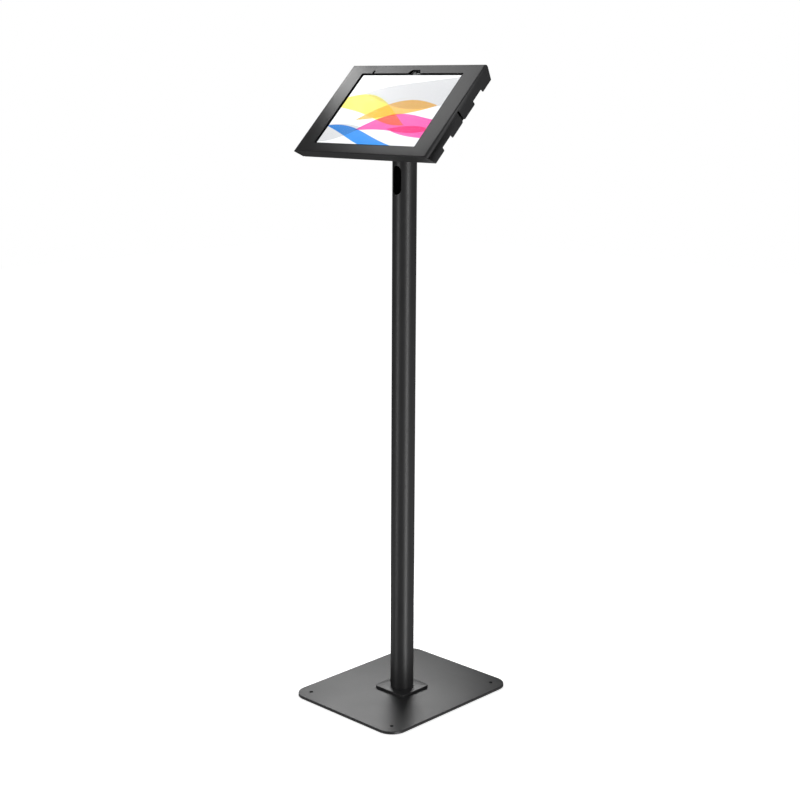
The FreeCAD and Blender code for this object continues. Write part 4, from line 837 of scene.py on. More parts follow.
class STAND_OT_pole(Operator):
    """Pole tube with its cable slots and the plug in its top"""
    bl_idname = "stand.pole"
    bl_label = "Pole"

    def execute(self, context):
        s = context.scene.stand_sizes
        tube = rod(s.pole_radius, (0, 0, s.base_top), (0, 0, s.pole_top), POLE_SIDES)
        bore = rod(s.pole_radius - s.pole_wall, (0, 0, 0), (0, 0, s.pole_top + PAST), POLE_SIDES)
        front = oval(s.slot_height, s.slot_width, (0, 0, s.slot_centre), UP, (0, -1, 0), REACH)
        back = oval(s.exit_height, s.exit_width, (0, 0, s.exit_centre), UP, (0, 1, 0), REACH)
        middle = Vector((0, 0, s.pole_top - PLUG_SCREW_DROP))
        holes = []
        for turn in PLUG_SCREW_TURNS:
            way = Vector((math.cos(math.radians(turn)), math.sin(math.radians(turn)), 0))
            holes.append(rod(PLUG_SCREW_HOLE, middle, middle + way * REACH, HOLE_SIDES))
        make_piece("pole_tube_coated", tube, "stand", ["pole_tube"], "coat", cut=[bore, front, back] + holes,
                   edge=0.0004, steps=3)
        plug = rod(s.pole_radius - s.pole_wall - PLAY, (0, 0, s.pole_top - PLUG_DEPTH), (0, 0, s.pole_top + PAST),
                   PLUG_SIDES)
        cap = rod(s.pole_radius, (0, 0, s.pole_top), (0, 0, s.pole_top + PLUG_CAP), PLUG_SIDES, rim=PLUG_CAP_RIM)
        make_piece("pole_plug_turned", plug, "stand", ["pole_plug"], "anodised", add=[cap], edge=0.00015)
        return {"FINISHED"}


BOLT = 0.004                    # radius of the tilt bolt, the turning stud and the fork's screw
HEX_ACROSS = 0.013
BOLT_HEAD = 0.0053
BOLT_RIM = 0.0006
BOLT_END = 0.0095               # how far the bolt reaches past the washer
BOLT_NUT = 0.008
WASHER = 0.008
WASHER_THICK = 0.0016
WASHER_RIM = 0.0002
FORK_OVER = 0.002               # how far the strap reaches past its round ends before they are trimmed
FORK_BEND = 0.0025
FORK_SCREW_HOLE = 0.0041
FORK_SCREW_HEAD = 0.0075
FORK_SCREW_SINK = 0.0036
FORK_SCREW_LENGTH = 0.022
FORK_SINK = 0.0077
FORK_SINK_SPAN = (0.0004, 0.0041)   # heights of the sunk hole's narrow and wide ends above the fork's foot


class STAND_OT_tilt_joint(Operator):
    """Fork on the pole with its bolt, washers and nut"""
    bl_idname = "stand.tilt_joint"
    bl_label = "Tilt joint"

    def execute(self, context):
        s, h = context.scene.stand_sizes, context.scene.stand_head
        self.fork(h, s.pole_top + PLUG_CAP)
        outer = h.fork_inner + h.fork_sheet
        head_x = outer + WASHER_THICK

        def across(x):
            return (x, 0, h.pivot)

        bolt = hex_head(HEX_ACROSS, across(head_x), across(head_x + BOLT_HEAD))
        shank = rod(BOLT, across(head_x + PAST), across(-head_x - BOLT_END), BOLT_SIDES, rim=BOLT_RIM)
        make_piece("tilt_bolt_plated", bolt, "stand", ["tilt_bolt"], "zinc", add=[shank], edge=0.00015)
        nut = hex_head(HEX_ACROSS, across(-head_x), across(-head_x - BOLT_NUT))
        bore = rod(BOLT + PLAY, across(0), across(-head_x - BOLT_NUT - REACH), BOLT_SIDES)
        make_piece("tilt_nut_plated", nut, "stand", ["tilt_nut"], "zinc", cut=[bore], edge=0.00015)
        washers = []
        for way in (-1, 1):
            put = Matrix.Translation(across(way * outer)) @ Matrix.Rotation(way * math.pi / 2, 4, "Y")
            washers.append(moved(ring(WASHER, BOLT + PLAY, 0.0, WASHER_THICK, rim=WASHER_RIM), put))
        make_piece("tilt_washers_plated", joined(washers), "stand", ["tilt_washers"], "zinc", edge=0.0)
        return {"FINISHED"}

    def fork(self, h, low):
        """A strap bent up at both sides, with round ends about the bolt, and its screw."""
        outer = h.fork_inner + h.fork_sheet
        seat = low + h.fork_sheet
        half = h.fork_depth / 2
        top = h.pivot + half + FORK_OVER
        outline = [(x, -half, z) for x, z in (
            (-outer, low), (outer, low), (outer, top), (h.fork_inner, top), (h.fork_inner, seat),
            (-h.fork_inner, seat), (-h.fork_inner, top), (-outer, top))]
        strap = swept(outline, (0, h.fork_depth, 0))
        bends = [e for e in edges_along(strap, 1) if e.verts[0].co.z < low + SAME]
        round_over(strap, bends, FORK_BEND, 6)
        ends = rod(half, (-REACH, 0, h.pivot), (REACH, 0, h.pivot), BOSS_SIDES)
        trimmer = solid_result(ends, [brick((-REACH, -half, low), (REACH, half, h.pivot))])
        narrow, wide = FORK_SINK_SPAN
        cuts = [rod(BOLT + PLAY, (-REACH, 0, h.pivot), (REACH, 0, h.pivot), BOLT_SIDES),
                rod(FORK_SCREW_HOLE, (0, 0, low - PAST), (0, 0, seat + PAST), BOLT_SIDES),
                rod(BOLT + PLAY, (0, 0, low + narrow), (0, 0, low + wide), BOLT_SIDES, end_radius=FORK_SINK)]
        make_piece("fork_bent", strap, "stand", ["head_fork"], "coat", keep=[trimmer], cut=cuts, edge=0.0004,
                   steps=3)
        screw = flat_screw(BOLT, FORK_SCREW_HEAD, FORK_SCREW_SINK, FORK_SCREW_LENGTH, (0, 0, seat), DOWN)
        make_piece("fork_screw_plated", screw, "stand", ["fork_screw"], "zinc", edge=0.0001)


def hex_head(across, start, end):
    """A hexagon head with its far corners turned off."""
    turned_radius, turned_rim, foot = 0.578 * across, 0.075 * across, 0.0005
    start, end = Vector(start), Vector(end)
    way = (end - start).normalized()
    turned = rod(turned_radius, start - way * foot, end, BOLT_SIDES, rim=turned_rim, rim_segments=2)
    return solid_result(hexagon(across, start, end), keep=[turned])


WEB_HALF = 0.016                # half the height of the yoke's web
HEAD_HOLE = 0.00406             # radius of the yoke's and disc's holes
CLEAR = (0.03, 0.05)            # cuts through the disc, the plate and the tray run between these heights
WEB_CLEAR = (0.02, 0.05)        # and those through the web between these
STOP_PIN = 0.003
STOP_PIN_AT = 0.0212
RIVETS_AT = (0.0052, 0.0118)
DISC_RIVET = 0.0032
DISC_RIVET_HEIGHT = 0.0015
DISC_RIVET_RIM = 0.0011
ARC_RADIUS = 0.030              # middle line of the slot that limits the turn
ARC_END = 0.0212132             # its ends lie at this x and y, 45 degrees to each side
ARC_HALF = 0.0032
PLATE_SHEET = 0.003
PLATE_SCREW = 0.00205
STUD_SPRINGS = 0.0021           # height of the spring washers between the web and the nut
STUD_NUT = 0.0065
STUD_NUT_BORE = (0.05, 0.01)    # heights that its bore runs between
STUD_END = 0.0077               # how far the stud reaches past the springs
STUD_HEAD = 0.011
STUD_HEAD_HEIGHT = 0.0015


class STAND_OT_turn_joint(Operator):
    """Yoke, turning disc and mounting plate behind the enclosure"""
    bl_idname = "stand.turn_joint"
    bl_label = "Turn joint"

    def execute(self, context):
        h = context.scene.stand_head
        put = head_place(context)
        self.yoke(h, put)
        disc = rod(h.disc_radius, (0, 0, h.disc_back), (0, 0, h.disc_back + h.disc_sheet), POLE_SIDES)
        cuts = rods(HEAD_HOLE, [(0, 0)], *WEB_CLEAR, BOLT_SIDES)
        cuts += rods(STOP_PIN, [(STOP_PIN_AT, STOP_PIN_AT)], *CLEAR, HOLE_SIDES)
        make_piece("turn_disc_coated", disc, "tilt_head", ["turn_disc"], "coat", put, cut=cuts, edge=0.0004)
        rivets = rods(DISC_RIVET, four(*RIVETS_AT), h.web_back, h.web_back - DISC_RIVET_HEIGHT, HOLE_SIDES,
                      rim=DISC_RIVET_RIM, rim_segments=4)
        make_piece("disc_rivets_plated", joined(rivets), "tilt_head", ["disc_rivets"], "zinc", put, edge=0.0)
        plate = slab(h.plate_size, h.plate_size, h.plate_corner, h.plate_back, h.plate_back + PLATE_SHEET, 12)
        cuts = self.arc_slot() + rods(BOLT + PLAY, [(0, 0)], *CLEAR, BOLT_SIDES)
        cuts += rods(PLATE_SCREW, four(h.plate_holes / 2, h.plate_holes / 2), *CLEAR, 24)
        make_piece("mounting_plate_coated", plate, "turntable", ["mounting_plate"], "coat", put, cut=cuts,
                   edge=0.0003)
        nut_top = h.web_back - STUD_SPRINGS
        nut = hex_head(HEX_ACROSS, (0, 0, nut_top), (0, 0, nut_top - STUD_NUT))
        make_piece("stud_nut_plated", nut, "turntable", ["stud_nut"], "zinc", put,
                   cut=rods(BOLT + PLAY, [(0, 0)], *STUD_NUT_BORE, BOLT_SIDES), edge=0.00015)
        front = h.plate_back + PLATE_SHEET
        stud = rod(BOLT, (0, 0, front - PAST), (0, 0, nut_top - STUD_END), BOLT_SIDES, rim=BOLT_RIM)
        top = rod(STUD_HEAD, (0, 0, front - STUD_HEAD_HEIGHT), (0, 0, front))
        make_piece("turn_stud_plated", stud, "turntable", ["turn_stud"], "zinc", put, add=[top], edge=0.00015)
        return {"FINISHED"}

    def yoke(self, h, put):
        """Two ears about the tilt bolt, widening to the web that carries the disc."""
        outer = h.ear_inner + h.ear_sheet
        outline = [(-outer, y, z) for y, z in (
            (-h.ear_radius, 0), (h.ear_radius, 0), (WEB_HALF, h.web_back), (WEB_HALF, h.disc_back),
            (-WEB_HALF, h.disc_back), (-WEB_HALF, h.web_back))]
        ears = swept(outline, (2 * outer, 0, 0))
        boss = rod(h.ear_radius, (-outer, 0, 0), (outer, 0, 0), BOSS_SIDES)
        beside = 0.02
        cuts = [brick((-h.ear_inner, -beside, -beside), (h.ear_inner, beside, h.web_back)),
                rod(HEAD_HOLE, (-beside, 0, 0), (beside, 0, 0), BOLT_SIDES)]
        cuts += rods(HEAD_HOLE, [(0, 0)], *WEB_CLEAR, BOLT_SIDES)
        make_piece("yoke_coated", ears, "tilt_head", ["tilt_yoke"], "coat", put, add=[boss], cut=cuts, edge=0.0004,
                   steps=3)

    def arc_slot(self):
        """The quarter-turn slot: its section spun about the turn axis, and its two round ends."""
        arc = bmesh.new()
        near, far = ARC_RADIUS - ARC_HALF, ARC_RADIUS + ARC_HALF
        low, high = CLEAR
        corners = [(near, 0, low), (far, 0, low), (far, 0, high), (near, 0, high)]
        face = arc.faces.new([arc.verts.new(corner) for corner in corners])
        bmesh.ops.rotate(arc, verts=arc.verts, cent=(0, 0, 0), matrix=Matrix.Rotation(-math.pi / 4, 3, "Z"))
        bmesh.ops.spin(arc, geom=[face] + arc.edges[:] + arc.verts[:], axis=UP, cent=(0, 0, 0), angle=math.pi / 2,
                       steps=48)
        bmesh.ops.holes_fill(arc, edges=[e for e in arc.edges if e.is_boundary], sides=8)
        bmesh.ops.recalc_face_normals(arc, faces=arc.faces)
        return [arc] + rods(ARC_HALF, [(ARC_END, -ARC_END), (ARC_END, ARC_END)], *CLEAR, HOLE_SIDES)


ALONG_X = (1, 0, 0)
TRAY_FOLD = 0.002
LIP_START = 0.011               # the tray's lips leave this much free at the hinge side
LIP_END = 0.0055                # and this much at the other end
SHADE_SHEET_INSET = 0.0004
SHADE_SHEET_THICK = 0.00035
SHADE_SHEET_ENDS = (0.0003, 0.0012)    # how far the painted-shade sheet starts and ends before the lip's edge and the tray's back
RESTS_AT = (0.090, 0.060)
REST_SIZE = (0.024, 0.018, 0.002)   # length, width and corner radius
REST_RIM = 0.0012
BRACKET_GAP = 0.0003            # between the tablet's short edges and the brackets
BRACKET_AT = 0.060
BRACKET_WIDTH = 0.022
BRACKET_FOOT = 0.013
BRACKET_BEND = 0.0012
BRACKET_DROP = 0.0032           # how far the brackets end behind the cover's face
BRACKET_RIVET_AT = 0.00725      # from the bracket's upright leg
PLATE_SCREW_LENGTH = 0.0052
GROMMET_FLANGE = (0.0022, 0.0014)   # width and thickness
GROMMET_WALL = 0.0016
LOCK_BARREL = 0.008             # radius of the lock's hole in the tray


class STAND_OT_tray(Operator):
    """Rear tray with its lips, holes, grommet, rests and brackets"""
    bl_idname = "stand.tray"
    bl_label = "Rear tray"

    def execute(self, context):
        e, t = context.scene.stand_enclosure, context.scene.stand_tablet
        put = head_place(context)
        back, front = e.tray_back, e.tray_back + e.sheet
        self.pan(e, back, front, put)
        make_piece("cable_grommet_moulded", self.grommet(e, back, front), "turntable", ["cable_grommet"], "rubber",
                   put, edge=0.0003, steps=3)
        rests = []
        for at in four(*RESTS_AT):
            rest = slab(*REST_SIZE, front, t.back, 4, at)
            rests.append(round_over(rest, edges_at(rest, t.back), REST_RIM, 3))
        make_piece("tablet_rests_moulded", joined(rests), "turntable", ["tablet_rests"], "rubber", put, edge=0.0)
        near = t.length / 2 + BRACKET_GAP
        brackets = [self.bracket(e, near, front, *way) for way in four(1, 1)]
        make_piece("tablet_brackets_coated", joined(brackets), "turntable", ["tablet_retainers"], "coat", put,
                   edge=0.0002)
        rivets = [dome_rivet(x, y, back, front + e.sheet) for x, y in four(near + BRACKET_RIVET_AT, BRACKET_AT)]
        make_piece("bracket_rivets_plated", joined(rivets), "turntable", ["retainer_rivets"], "zinc", put, edge=0.0)
        half = context.scene.stand_head.plate_holes / 2
        screws = [pan_screw(x, y, front, PLATE_SCREW_LENGTH) for x, y in four(half, half)]
        make_piece("plate_screws_plated", joined(screws), "turntable", ["plate_screws"], "zinc", put, edge=0.0)
        return {"FINISHED"}

    def pan(self, e, back, front, put):
        """The folded sheet with its two lips, its holes, the tab behind the side slot, and a near-black sheet on that
        tab as painted shade in the slot.
        """
        half, left, right = e.tray_half, e.tray_left, e.tray_right
        outline = [(left, y, z) for y, z in (
            (-half, front), (-half, e.tray_lip), (-half + e.sheet, e.tray_lip), (-half + e.sheet, back),
            (half - e.sheet, back), (half - e.sheet, e.tray_lip), (half, e.tray_lip), (half, front))]
        pan = swept(outline, (right - left, 0, 0))
        round_over(pan, folds_of(pan, 0, front), TRAY_FOLD, 4)
        guard = brick((right - e.sheet, -e.slot_guard / 2, e.tray_lip), (right, e.slot_guard / 2, back + PAST / 2))
        low, high = CLEAR
        wide, inner, outer = 0.01, 0.05, 0.1
        cuts = [brick((left - wide, -outer, low), (left + LIP_START, outer, back)),
                brick((right - LIP_END, -outer, low), (right + wide, -inner, back)),
                brick((right - LIP_END, inner, low), (right + wide, outer, back)),
                oval(e.cable_hole_length, e.cable_hole_height, (0, e.cable_hole, low), ALONG_X, UP, high - low)]
        cuts += rods(LOCK_BARREL, [(e.lock_x, e.lock_y)], low, high, BOLT_SIDES)
        make_piece("rear_tray_coated", pan, "turntable", ["rear_tray"], "coat", put, add=[guard], cut=cuts,
                   edge=0.0002)
        # A near-black sheet on the tab behind the side slot: painted shade, so that the slot looks black.
        start, end = SHADE_SHEET_ENDS
        shade_sheet = brick((right, SHADE_SHEET_INSET - e.slot_guard / 2, e.tray_lip + start),
                     (right + SHADE_SHEET_THICK, e.slot_guard / 2 - SHADE_SHEET_INSET, back + end))
        make_piece("slot_seal_felt", shade_sheet, "turntable", [], "felt", put, edge=0.00005)

    def bracket(self, e, near, front, side, up):
        """An angle that holds one end of one of the tablet's short edges."""
        y = up * BRACKET_AT - BRACKET_WIDTH / 2
        top = e.face - BRACKET_DROP
        outline = [(x, y, z) for x, z in (
            (near, front), (near + BRACKET_FOOT, front), (near + BRACKET_FOOT, front + e.sheet),
            (near + e.sheet, front + e.sheet), (near + e.sheet, top), (near, top))]
        shape = swept(outline, (0, BRACKET_WIDTH, 0))
        bend = [g for g in edges_along(shape, 1)
                if abs(g.verts[0].co.x - near) < SAME and g.verts[0].co.z < front + SAME]
        round_over(shape, bend, BRACKET_BEND, 3)
        if side < 0:
            moved(shape, Matrix.Scale(-1, 4, ALONG_X))
            bmesh.ops.reverse_faces(shape, faces=shape.faces)
        return shape

    def grommet(self, e, back, front):
        """A rubber ring through the cable hole, with a flange on each side of the sheet."""
        def layer(grow, low, high):
            return oval(e.cable_hole_length + 2 * grow, e.cable_hole_height + 2 * grow, (0, e.cable_hole, low),
                        ALONG_X, UP, high - low)

        flange, thick = GROMMET_FLANGE
        low, high = back - thick, front + thick
        return solid_result(layer(-PLAY, low, high), [layer(flange, low, back), layer(flange, front, high)],
                            [layer(-GROMMET_WALL, low - PAST, high + PAST)])


DOME = {"segments": HOLE_SIDES, "rim": 0.0008, "rim_segments": 4}
DOME_RADIUS = 0.003
DOME_HEIGHT = 0.001
PAN_RIM = 0.0009
PAN_SHANK_RIM = 0.0004
PAN_SCREW = 0.002
PAN_HEAD = (0.0036, 0.0022)     # radius and height
PAN_SOCKET = (0.0009, 0.004)    # where the socket starts and ends above the seat


def dome_rivet(x, y, low, high):
    """Both heads of a rivet through sheets that lie between two heights."""
    return joined([rod(DOME_RADIUS, (x, y, low), (x, y, low - DOME_HEIGHT), **DOME),
                   rod(DOME_RADIUS, (x, y, high), (x, y, high + DOME_HEIGHT), **DOME)])


def pan_screw(x, y, seat, length):
    """A round-headed screw with a socket, its shank behind the seat."""
    radius, height = PAN_HEAD
    head = rod(radius, (x, y, seat), (x, y, seat + height), BOLT_SIDES, rim=PAN_RIM, rim_segments=4)
    shank = rod(PAN_SCREW, (x, y, seat + PAST / 2), (x, y, seat - length), HOLE_SIDES, rim=PAN_SHANK_RIM)
    start, end = (seat + rise for rise in PAN_SOCKET)
    return solid_result(head, [shank], [hexagon(PAN_SCREW, (x, y, start), (x, y, end))])


HINGE_LEAF = 0.0013             # thickness of both leaves
HINGE_LEAF_WIDTH = 0.009
HINGE_GAP = 0.0003              # between neighbouring knuckles
HINGE_PIN = 0.0013
HINGE_BORE = 0.00136
HINGE_PIN_HEAD = (0.002, 0.0012)    # radius and height
HINGE_PIN_RIM = 0.0006
HINGE_RIVETS_AT = (-0.4, -0.13, 0.13, 0.4)  # as parts of the hinge's length
COVER_LEAF_DROP = 0.0055        # how far the cover's leaf ends behind the face
COVER_LEAF_GAP = 0.0003         # and how far it starts before the tray's back


class STAND_OT_hinge(Operator):
    """Cover hinge: both leaves, the rolled knuckles, the pin and the rivets"""
    bl_idname = "stand.hinge"
    bl_label = "Cover hinge"

    def execute(self, context):
        e = context.scene.stand_enclosure
        put = head_place(context)
        x, z = e.hinge_x, e.hinge_z
        half = e.hinge_length / 2
        back, left = e.tray_back, e.tray_left
        flat = brick((left, -half, back - HINGE_LEAF), (left + HINGE_LEAF_WIDTH, half, back))
        straps = [brick((x, low, back - HINGE_LEAF), (left + PAST, high, back))
                  for low, high in self.knuckles(e, 0)]
        self.leaf("tray_leaf_coated", flat, straps, 0, "turntable", "tray_hinge_leaf", e, put)
        inner = e.sheet - e.width / 2
        flat = brick((inner, -half, back + COVER_LEAF_GAP), (inner + HINGE_LEAF, half, e.face - COVER_LEAF_DROP))
        straps = [brick((inner, low, z), (inner + HINGE_LEAF, high, back + PAST))
                  for low, high in self.knuckles(e, 1)]
        self.leaf("cover_leaf_coated", flat, straps, 1, "cover", "cover_hinge_leaf", e, put)
        radius, height = HINGE_PIN_HEAD
        heads = [rod(radius, (x, way * half, z), (x, way * (half + height), z), HOLE_SIDES, rim=HINGE_PIN_RIM)
                 for way in (-1, 1)]
        make_piece("hinge_pin_bare", rod(HINGE_PIN, (x, -half, z), (x, half, z), HOLE_SIDES), "turntable",
                   ["hinge_pin"], "steel", put, add=heads, edge=0.0)
        rivets = [dome_rivet(left + HINGE_LEAF_WIDTH / 2, e.hinge_length * part, back - HINGE_LEAF, back + e.sheet)
                  for part in HINGE_RIVETS_AT]
        make_piece("hinge_rivets_plated", joined(rivets), "turntable", ["hinge_rivets"], "zinc", put, edge=0.0)
        return {"FINISHED"}

    def knuckles(self, e, first):
        """Where every second of the five knuckles starts and ends."""
        pitch, start = e.hinge_length / 5, -e.hinge_length / 2
        return [(start + i * pitch + HINGE_GAP / 2, start + (i + 1) * pitch - HINGE_GAP / 2)
                for i in range(first, 5, 2)]

    def leaf(self, name, flat, straps, first, body, stands_for, e, put):
        x, z = e.hinge_x, e.hinge_z
        added = []
        for (low, high), strap in zip(self.knuckles(e, first), straps):
            added += [rod(e.hinge_radius, (x, low, z), (x, high, z), BOLT_SIDES), strap]
        bore = rod(HINGE_BORE, (x, -e.hinge_length, z), (x, e.hinge_length, z), HOLE_SIDES)
        make_piece(name, flat, body, [stands_for], "coat", put, add=added, cut=[bore], edge=0.0002)


LOCK_COLLAR = 0.0105
LOCK_COLLAR_HEIGHT = 0.0025
LOCK_COLLAR_RIM = 0.0009
LOCK_BORE = (0.03, 0.06)        # heights that the bores of the lock's body and nut run between
LOCK_DEPTH = 0.0055             # how far the lock's body reaches into the tray
LOCK_NUT_ACROSS = 0.020
LOCK_NUT_HEIGHT = 0.002
LOCK_PLUG = 0.0055
LOCK_PLUG_PLAY = 0.00006
LOCK_PLUG_RIM = 0.0004
KEYWAY = (0.0008, 0.0035)       # half width and half height
KEYWAY_ENDS = (0.004, 0.0005)   # how far it reaches out of the tray's back and into it
DISH = 0.0048                   # radius of the shallow dish around the keyway
DISH_ENDS = (0.003, 0.0021)
CAM_GAP = 0.0002
CAM_SHEET = 0.0015
CAM_HUB = 0.0063
CAM_HALF = 0.0055
CAM_LENGTH = 0.0135
CAM_SCREW_LENGTH = 0.004
CATCH_GAP = 0.0003              # between the cam and the catch
CATCH_DEPTH = 0.008
CATCH_HALF = 0.009
CATCH_DROP = 0.005              # how far the catch ends behind the cover's face


class STAND_OT_lock(Operator):
    """Lock barrel, plug with its keyway, cam, nut and the catch in the cover"""
    bl_idname = "stand.lock"
    bl_label = "Lock"

    def execute(self, context):
        e = context.scene.stand_enclosure
        put = head_place(context)
        x, y, back = e.lock_x, e.lock_y, e.tray_back
        front = back + LOCK_DEPTH
        cam_z = front + CAM_GAP
        cam_top = cam_z + CAM_SHEET

        def at(z):
            return (x, y, z)

        collar = rod(LOCK_COLLAR, at(back), at(back - LOCK_COLLAR_HEIGHT), BOSS_SIDES, rim=LOCK_COLLAR_RIM,
                     rim_segments=5)
        barrel = rod(LOCK_BARREL - PLAY, at(back - PAST), at(front), BOSS_SIDES)
        low, high = (at(z) for z in LOCK_BORE)
        bore = rod(LOCK_PLUG + LOCK_PLUG_PLAY, low, high)
        make_piece("lock_collar_plated", collar, "turntable", ["lock_body"], "chrome", put, add=[barrel],
                   cut=[bore], edge=0.0002, steps=3)
        seat = back + e.sheet
        nut = hexagon(LOCK_NUT_ACROSS, at(seat), at(seat + LOCK_NUT_HEIGHT))
        make_piece("lock_nut_plated", nut, "turntable", ["lock_nut"], "zinc", put,
                   cut=[rod(LOCK_BARREL, low, high)], edge=0.0002)
        plug = rod(LOCK_PLUG, at(cam_z), at(back - LOCK_COLLAR_HEIGHT), rim=LOCK_PLUG_RIM)
        half_width, half_height = KEYWAY
        out, into = KEYWAY_ENDS
        keyway = brick((x - half_width, y - half_height, back - out), (x + half_width, y + half_height, back + into))
        dish = rod(DISH, *(at(back - depth) for depth in DISH_ENDS))
        make_piece("lock_plug_plated", plug, "lock_barrel", ["lock_plug"], "chrome", put, cut=[keyway, dish],
                   edge=0.0001)
        hub = rod(CAM_HUB, at(cam_z), at(cam_top))
        arm = brick((x - CAM_HALF, y - CAM_LENGTH, cam_z), (x + CAM_HALF, y, cam_top))
        make_piece("lock_cam_plated", hub, "lock_barrel", ["lock_cam"], "zinc", put, add=[arm], edge=0.0002)
        screw = pan_screw(x, y, cam_top, CAM_SCREW_LENGTH)
        make_piece("cam_screw_plated", screw, "lock_barrel", ["lock_cam_screw"], "zinc", put, edge=0.0)
        self.catch(e, cam_z - CATCH_GAP, put)
        return {"FINISHED"}

    def catch(self, e, top, put):
        """An angle inside the cover's side wall that the cam holds back."""
        wall = e.width / 2 - e.sheet
        low, end = top - e.sheet, e.face - CATCH_DROP
        outline = [(x, e.lock_y - CATCH_HALF, z) for x, z in (
            (wall - CATCH_DEPTH, low), (wall, low), (wall, end), (wall - e.sheet, end), (wall - e.sheet, top),
            (wall - CATCH_DEPTH, top))]
        catch = swept(outline, (0, 2 * CATCH_HALF, 0))
        make_piece("lock_catch_coated", catch, "cover", ["lock_catch"], "coat", put, edge=0.0002)


FOAM_SPAN = (0.0906, 0.0949)    # the foam strips' two long edges, from the middle of the face
FOAM_HALF_LENGTH = 0.1
FOAM_DEPTH = 0.0085             # how far they reach behind the face
INNER_TAIL = 0.002              # how far the inner form runs out past the walls' rear edges
FOLD_SEGMENTS = 10
WINDOW_CORNER = 0.0015
WINDOW_CUT = (0.004, 0.001)     # how far the window's cuts reach behind and before the face
SOUND_MOUTH = 0.0018            # rounding at the mouths of the sound notches
SLOT_MOUTH = 0.003              # and of the side slot
NOTCH_CUT = 0.005               # how far a notch's cut reaches to both sides of the wall's outside
ALMOST = 0.999                  # keeps the mouth's rounding just short of its corner


class STAND_OT_cover(Operator):
    """Folded front cover with its window, camera notch, sensor slit, sound notches and cable slot"""
    bl_idname = "stand.cover"
    bl_label = "Front cover"

    def execute(self, context):
        e = context.scene.stand_enclosure
        put = head_place(context)
        rear = e.face - e.depth
        outer = self.folded(e, 0.0, 0.0)
        inner = solid_result(self.folded(e, e.sheet, INNER_TAIL), keep=[self.upright(e, e.sheet, INNER_TAIL)])
        cuts = [inner] + self.window(e) + self.side_notches(e, rear) + self.corner_gaps(e, rear)
        make_piece("front_cover_coated", outer, "cover", ["front_cover"], "coat", put,
                   keep=[self.upright(e, 0.0, 0.0)], cut=cuts, edge=0.00022, steps=2)
        strips = []
        for way in (-1, 1):
            low, high = sorted(way * y for y in FOAM_SPAN)
            strips.append(brick((-FOAM_HALF_LENGTH, low, e.face - FOAM_DEPTH),
                                (FOAM_HALF_LENGTH, high, e.face - e.sheet)))
        make_piece("foam_strips_cut", joined(strips), "cover", ["foam_strips"], "foam", put, edge=0.0006, steps=3)
        return {"FINISHED"}

    def folded(self, e, inset, tail):
        """The form between the sloping walls, with their two folds."""
        front, rear = e.face - inset, e.face - e.depth - tail
        half_x = e.width / 2 - inset

        def half_y(z):
            return e.height / 2 - (e.face - z) * math.tan(e.slope) - inset / math.cos(e.slope)

        form = swept([(-half_x, -half_y(front), front), (-half_x, half_y(front), front),
                      (-half_x, half_y(rear), rear), (-half_x, -half_y(rear), rear)], (2 * half_x, 0, 0))
        tangent = (e.long_bend - inset) / math.tan((math.pi / 2 - e.slope) / 2)
        return round_over(form, folds_of(form, 0, front), tangent, FOLD_SEGMENTS)

    def upright(self, e, inset, tail):
        """The form between the upright side walls, with their two folds."""
        front = e.face - inset
        half_x = e.width / 2 - inset
        form = brick((-half_x, -e.height, e.face - e.depth - tail), (half_x, e.height, front))
        return round_over(form, folds_of(form, 1, front), e.bend - inset, FOLD_SEGMENTS)

    def window(self, e):
        """The window's opening with the camera notch and the sensor slit above it."""
        behind, before = WINDOW_CUT
        low, high = e.face - behind, e.face + before
        half_y = e.window_height / 2
        pane = slab(e.window_width, e.window_height, WINDOW_CORNER, low, high, 5)
        base, top = e.notch_base / 2, e.notch_top / 2
        rise = half_y + e.notch_height
        notch = swept([(e.notch_middle + x, y, low) for x, y in (
            (-base, half_y - PAST), (base, half_y - PAST), (base, half_y), (top, rise), (-top, rise),
            (-base, half_y))], (0, 0, high - low))
        slit = brick((e.slit_middle - e.slit_width / 2, half_y - PAST, low),
                     (e.slit_middle + e.slit_width / 2, half_y + e.slit_height, high))
        return [pane, notch, slit]

    def side_notches(self, e, rear):
        """Two sound notches in each side wall, and the cable slot in the right one."""
        cuts = [self.open_notch(side * e.width / 2, way * e.sound_middle, e.sound_length / 2, rear + e.sound_depth,
                                rear, SOUND_MOUTH) for side, way in four(1, 1)]
        start = e.face - e.side_slot_start
        return cuts + [self.open_notch(e.width / 2, 0.0, e.side_slot / 2, start, rear, SLOT_MOUTH)]

    def open_notch(self, x, middle, half, top, rear, mouth):
        """A notch that runs out at the wall's rear edge, with the corners of its mouth rounded."""
        wide = half + mouth
        notch = swept([(x - NOTCH_CUT, middle + y, z) for y, z in (
            (-half, top), (half, top), (half, rear), (wide, rear), (wide, rear - PAST), (-wide, rear - PAST),
            (-wide, rear), (-half, rear))], (2 * NOTCH_CUT, 0, 0))
        bends = [g for g in edges_along(notch, 0)
                 if abs(g.verts[0].co.z - rear) < SAME and abs(abs(g.verts[0].co.y - middle) - half) < SAME]
        return round_over(notch, bends, mouth * ALMOST, 5)

    def corner_gaps(self, e, rear):
        """Gaps on the hinge side, beside the slanted ends of the sloping walls."""
        gaps = []
        wall = e.sheet - e.width / 2
        inner = e.height / 2 - e.depth * math.tan(e.slope) - 2 * e.sheet / math.cos(e.slope)
        start, end = e.face - e.relief_start, rear - PAST
        for way in (-1, 1):
            low, high = sorted((way * inner, way * (e.height / 2 + PAST)))
            gaps.append(swept([(wall, low, start), (wall + e.relief_front, low, start),
                               (wall + e.relief_rear, low, end), (wall, low, end)], (0, high - low, 0)))
        return gaps


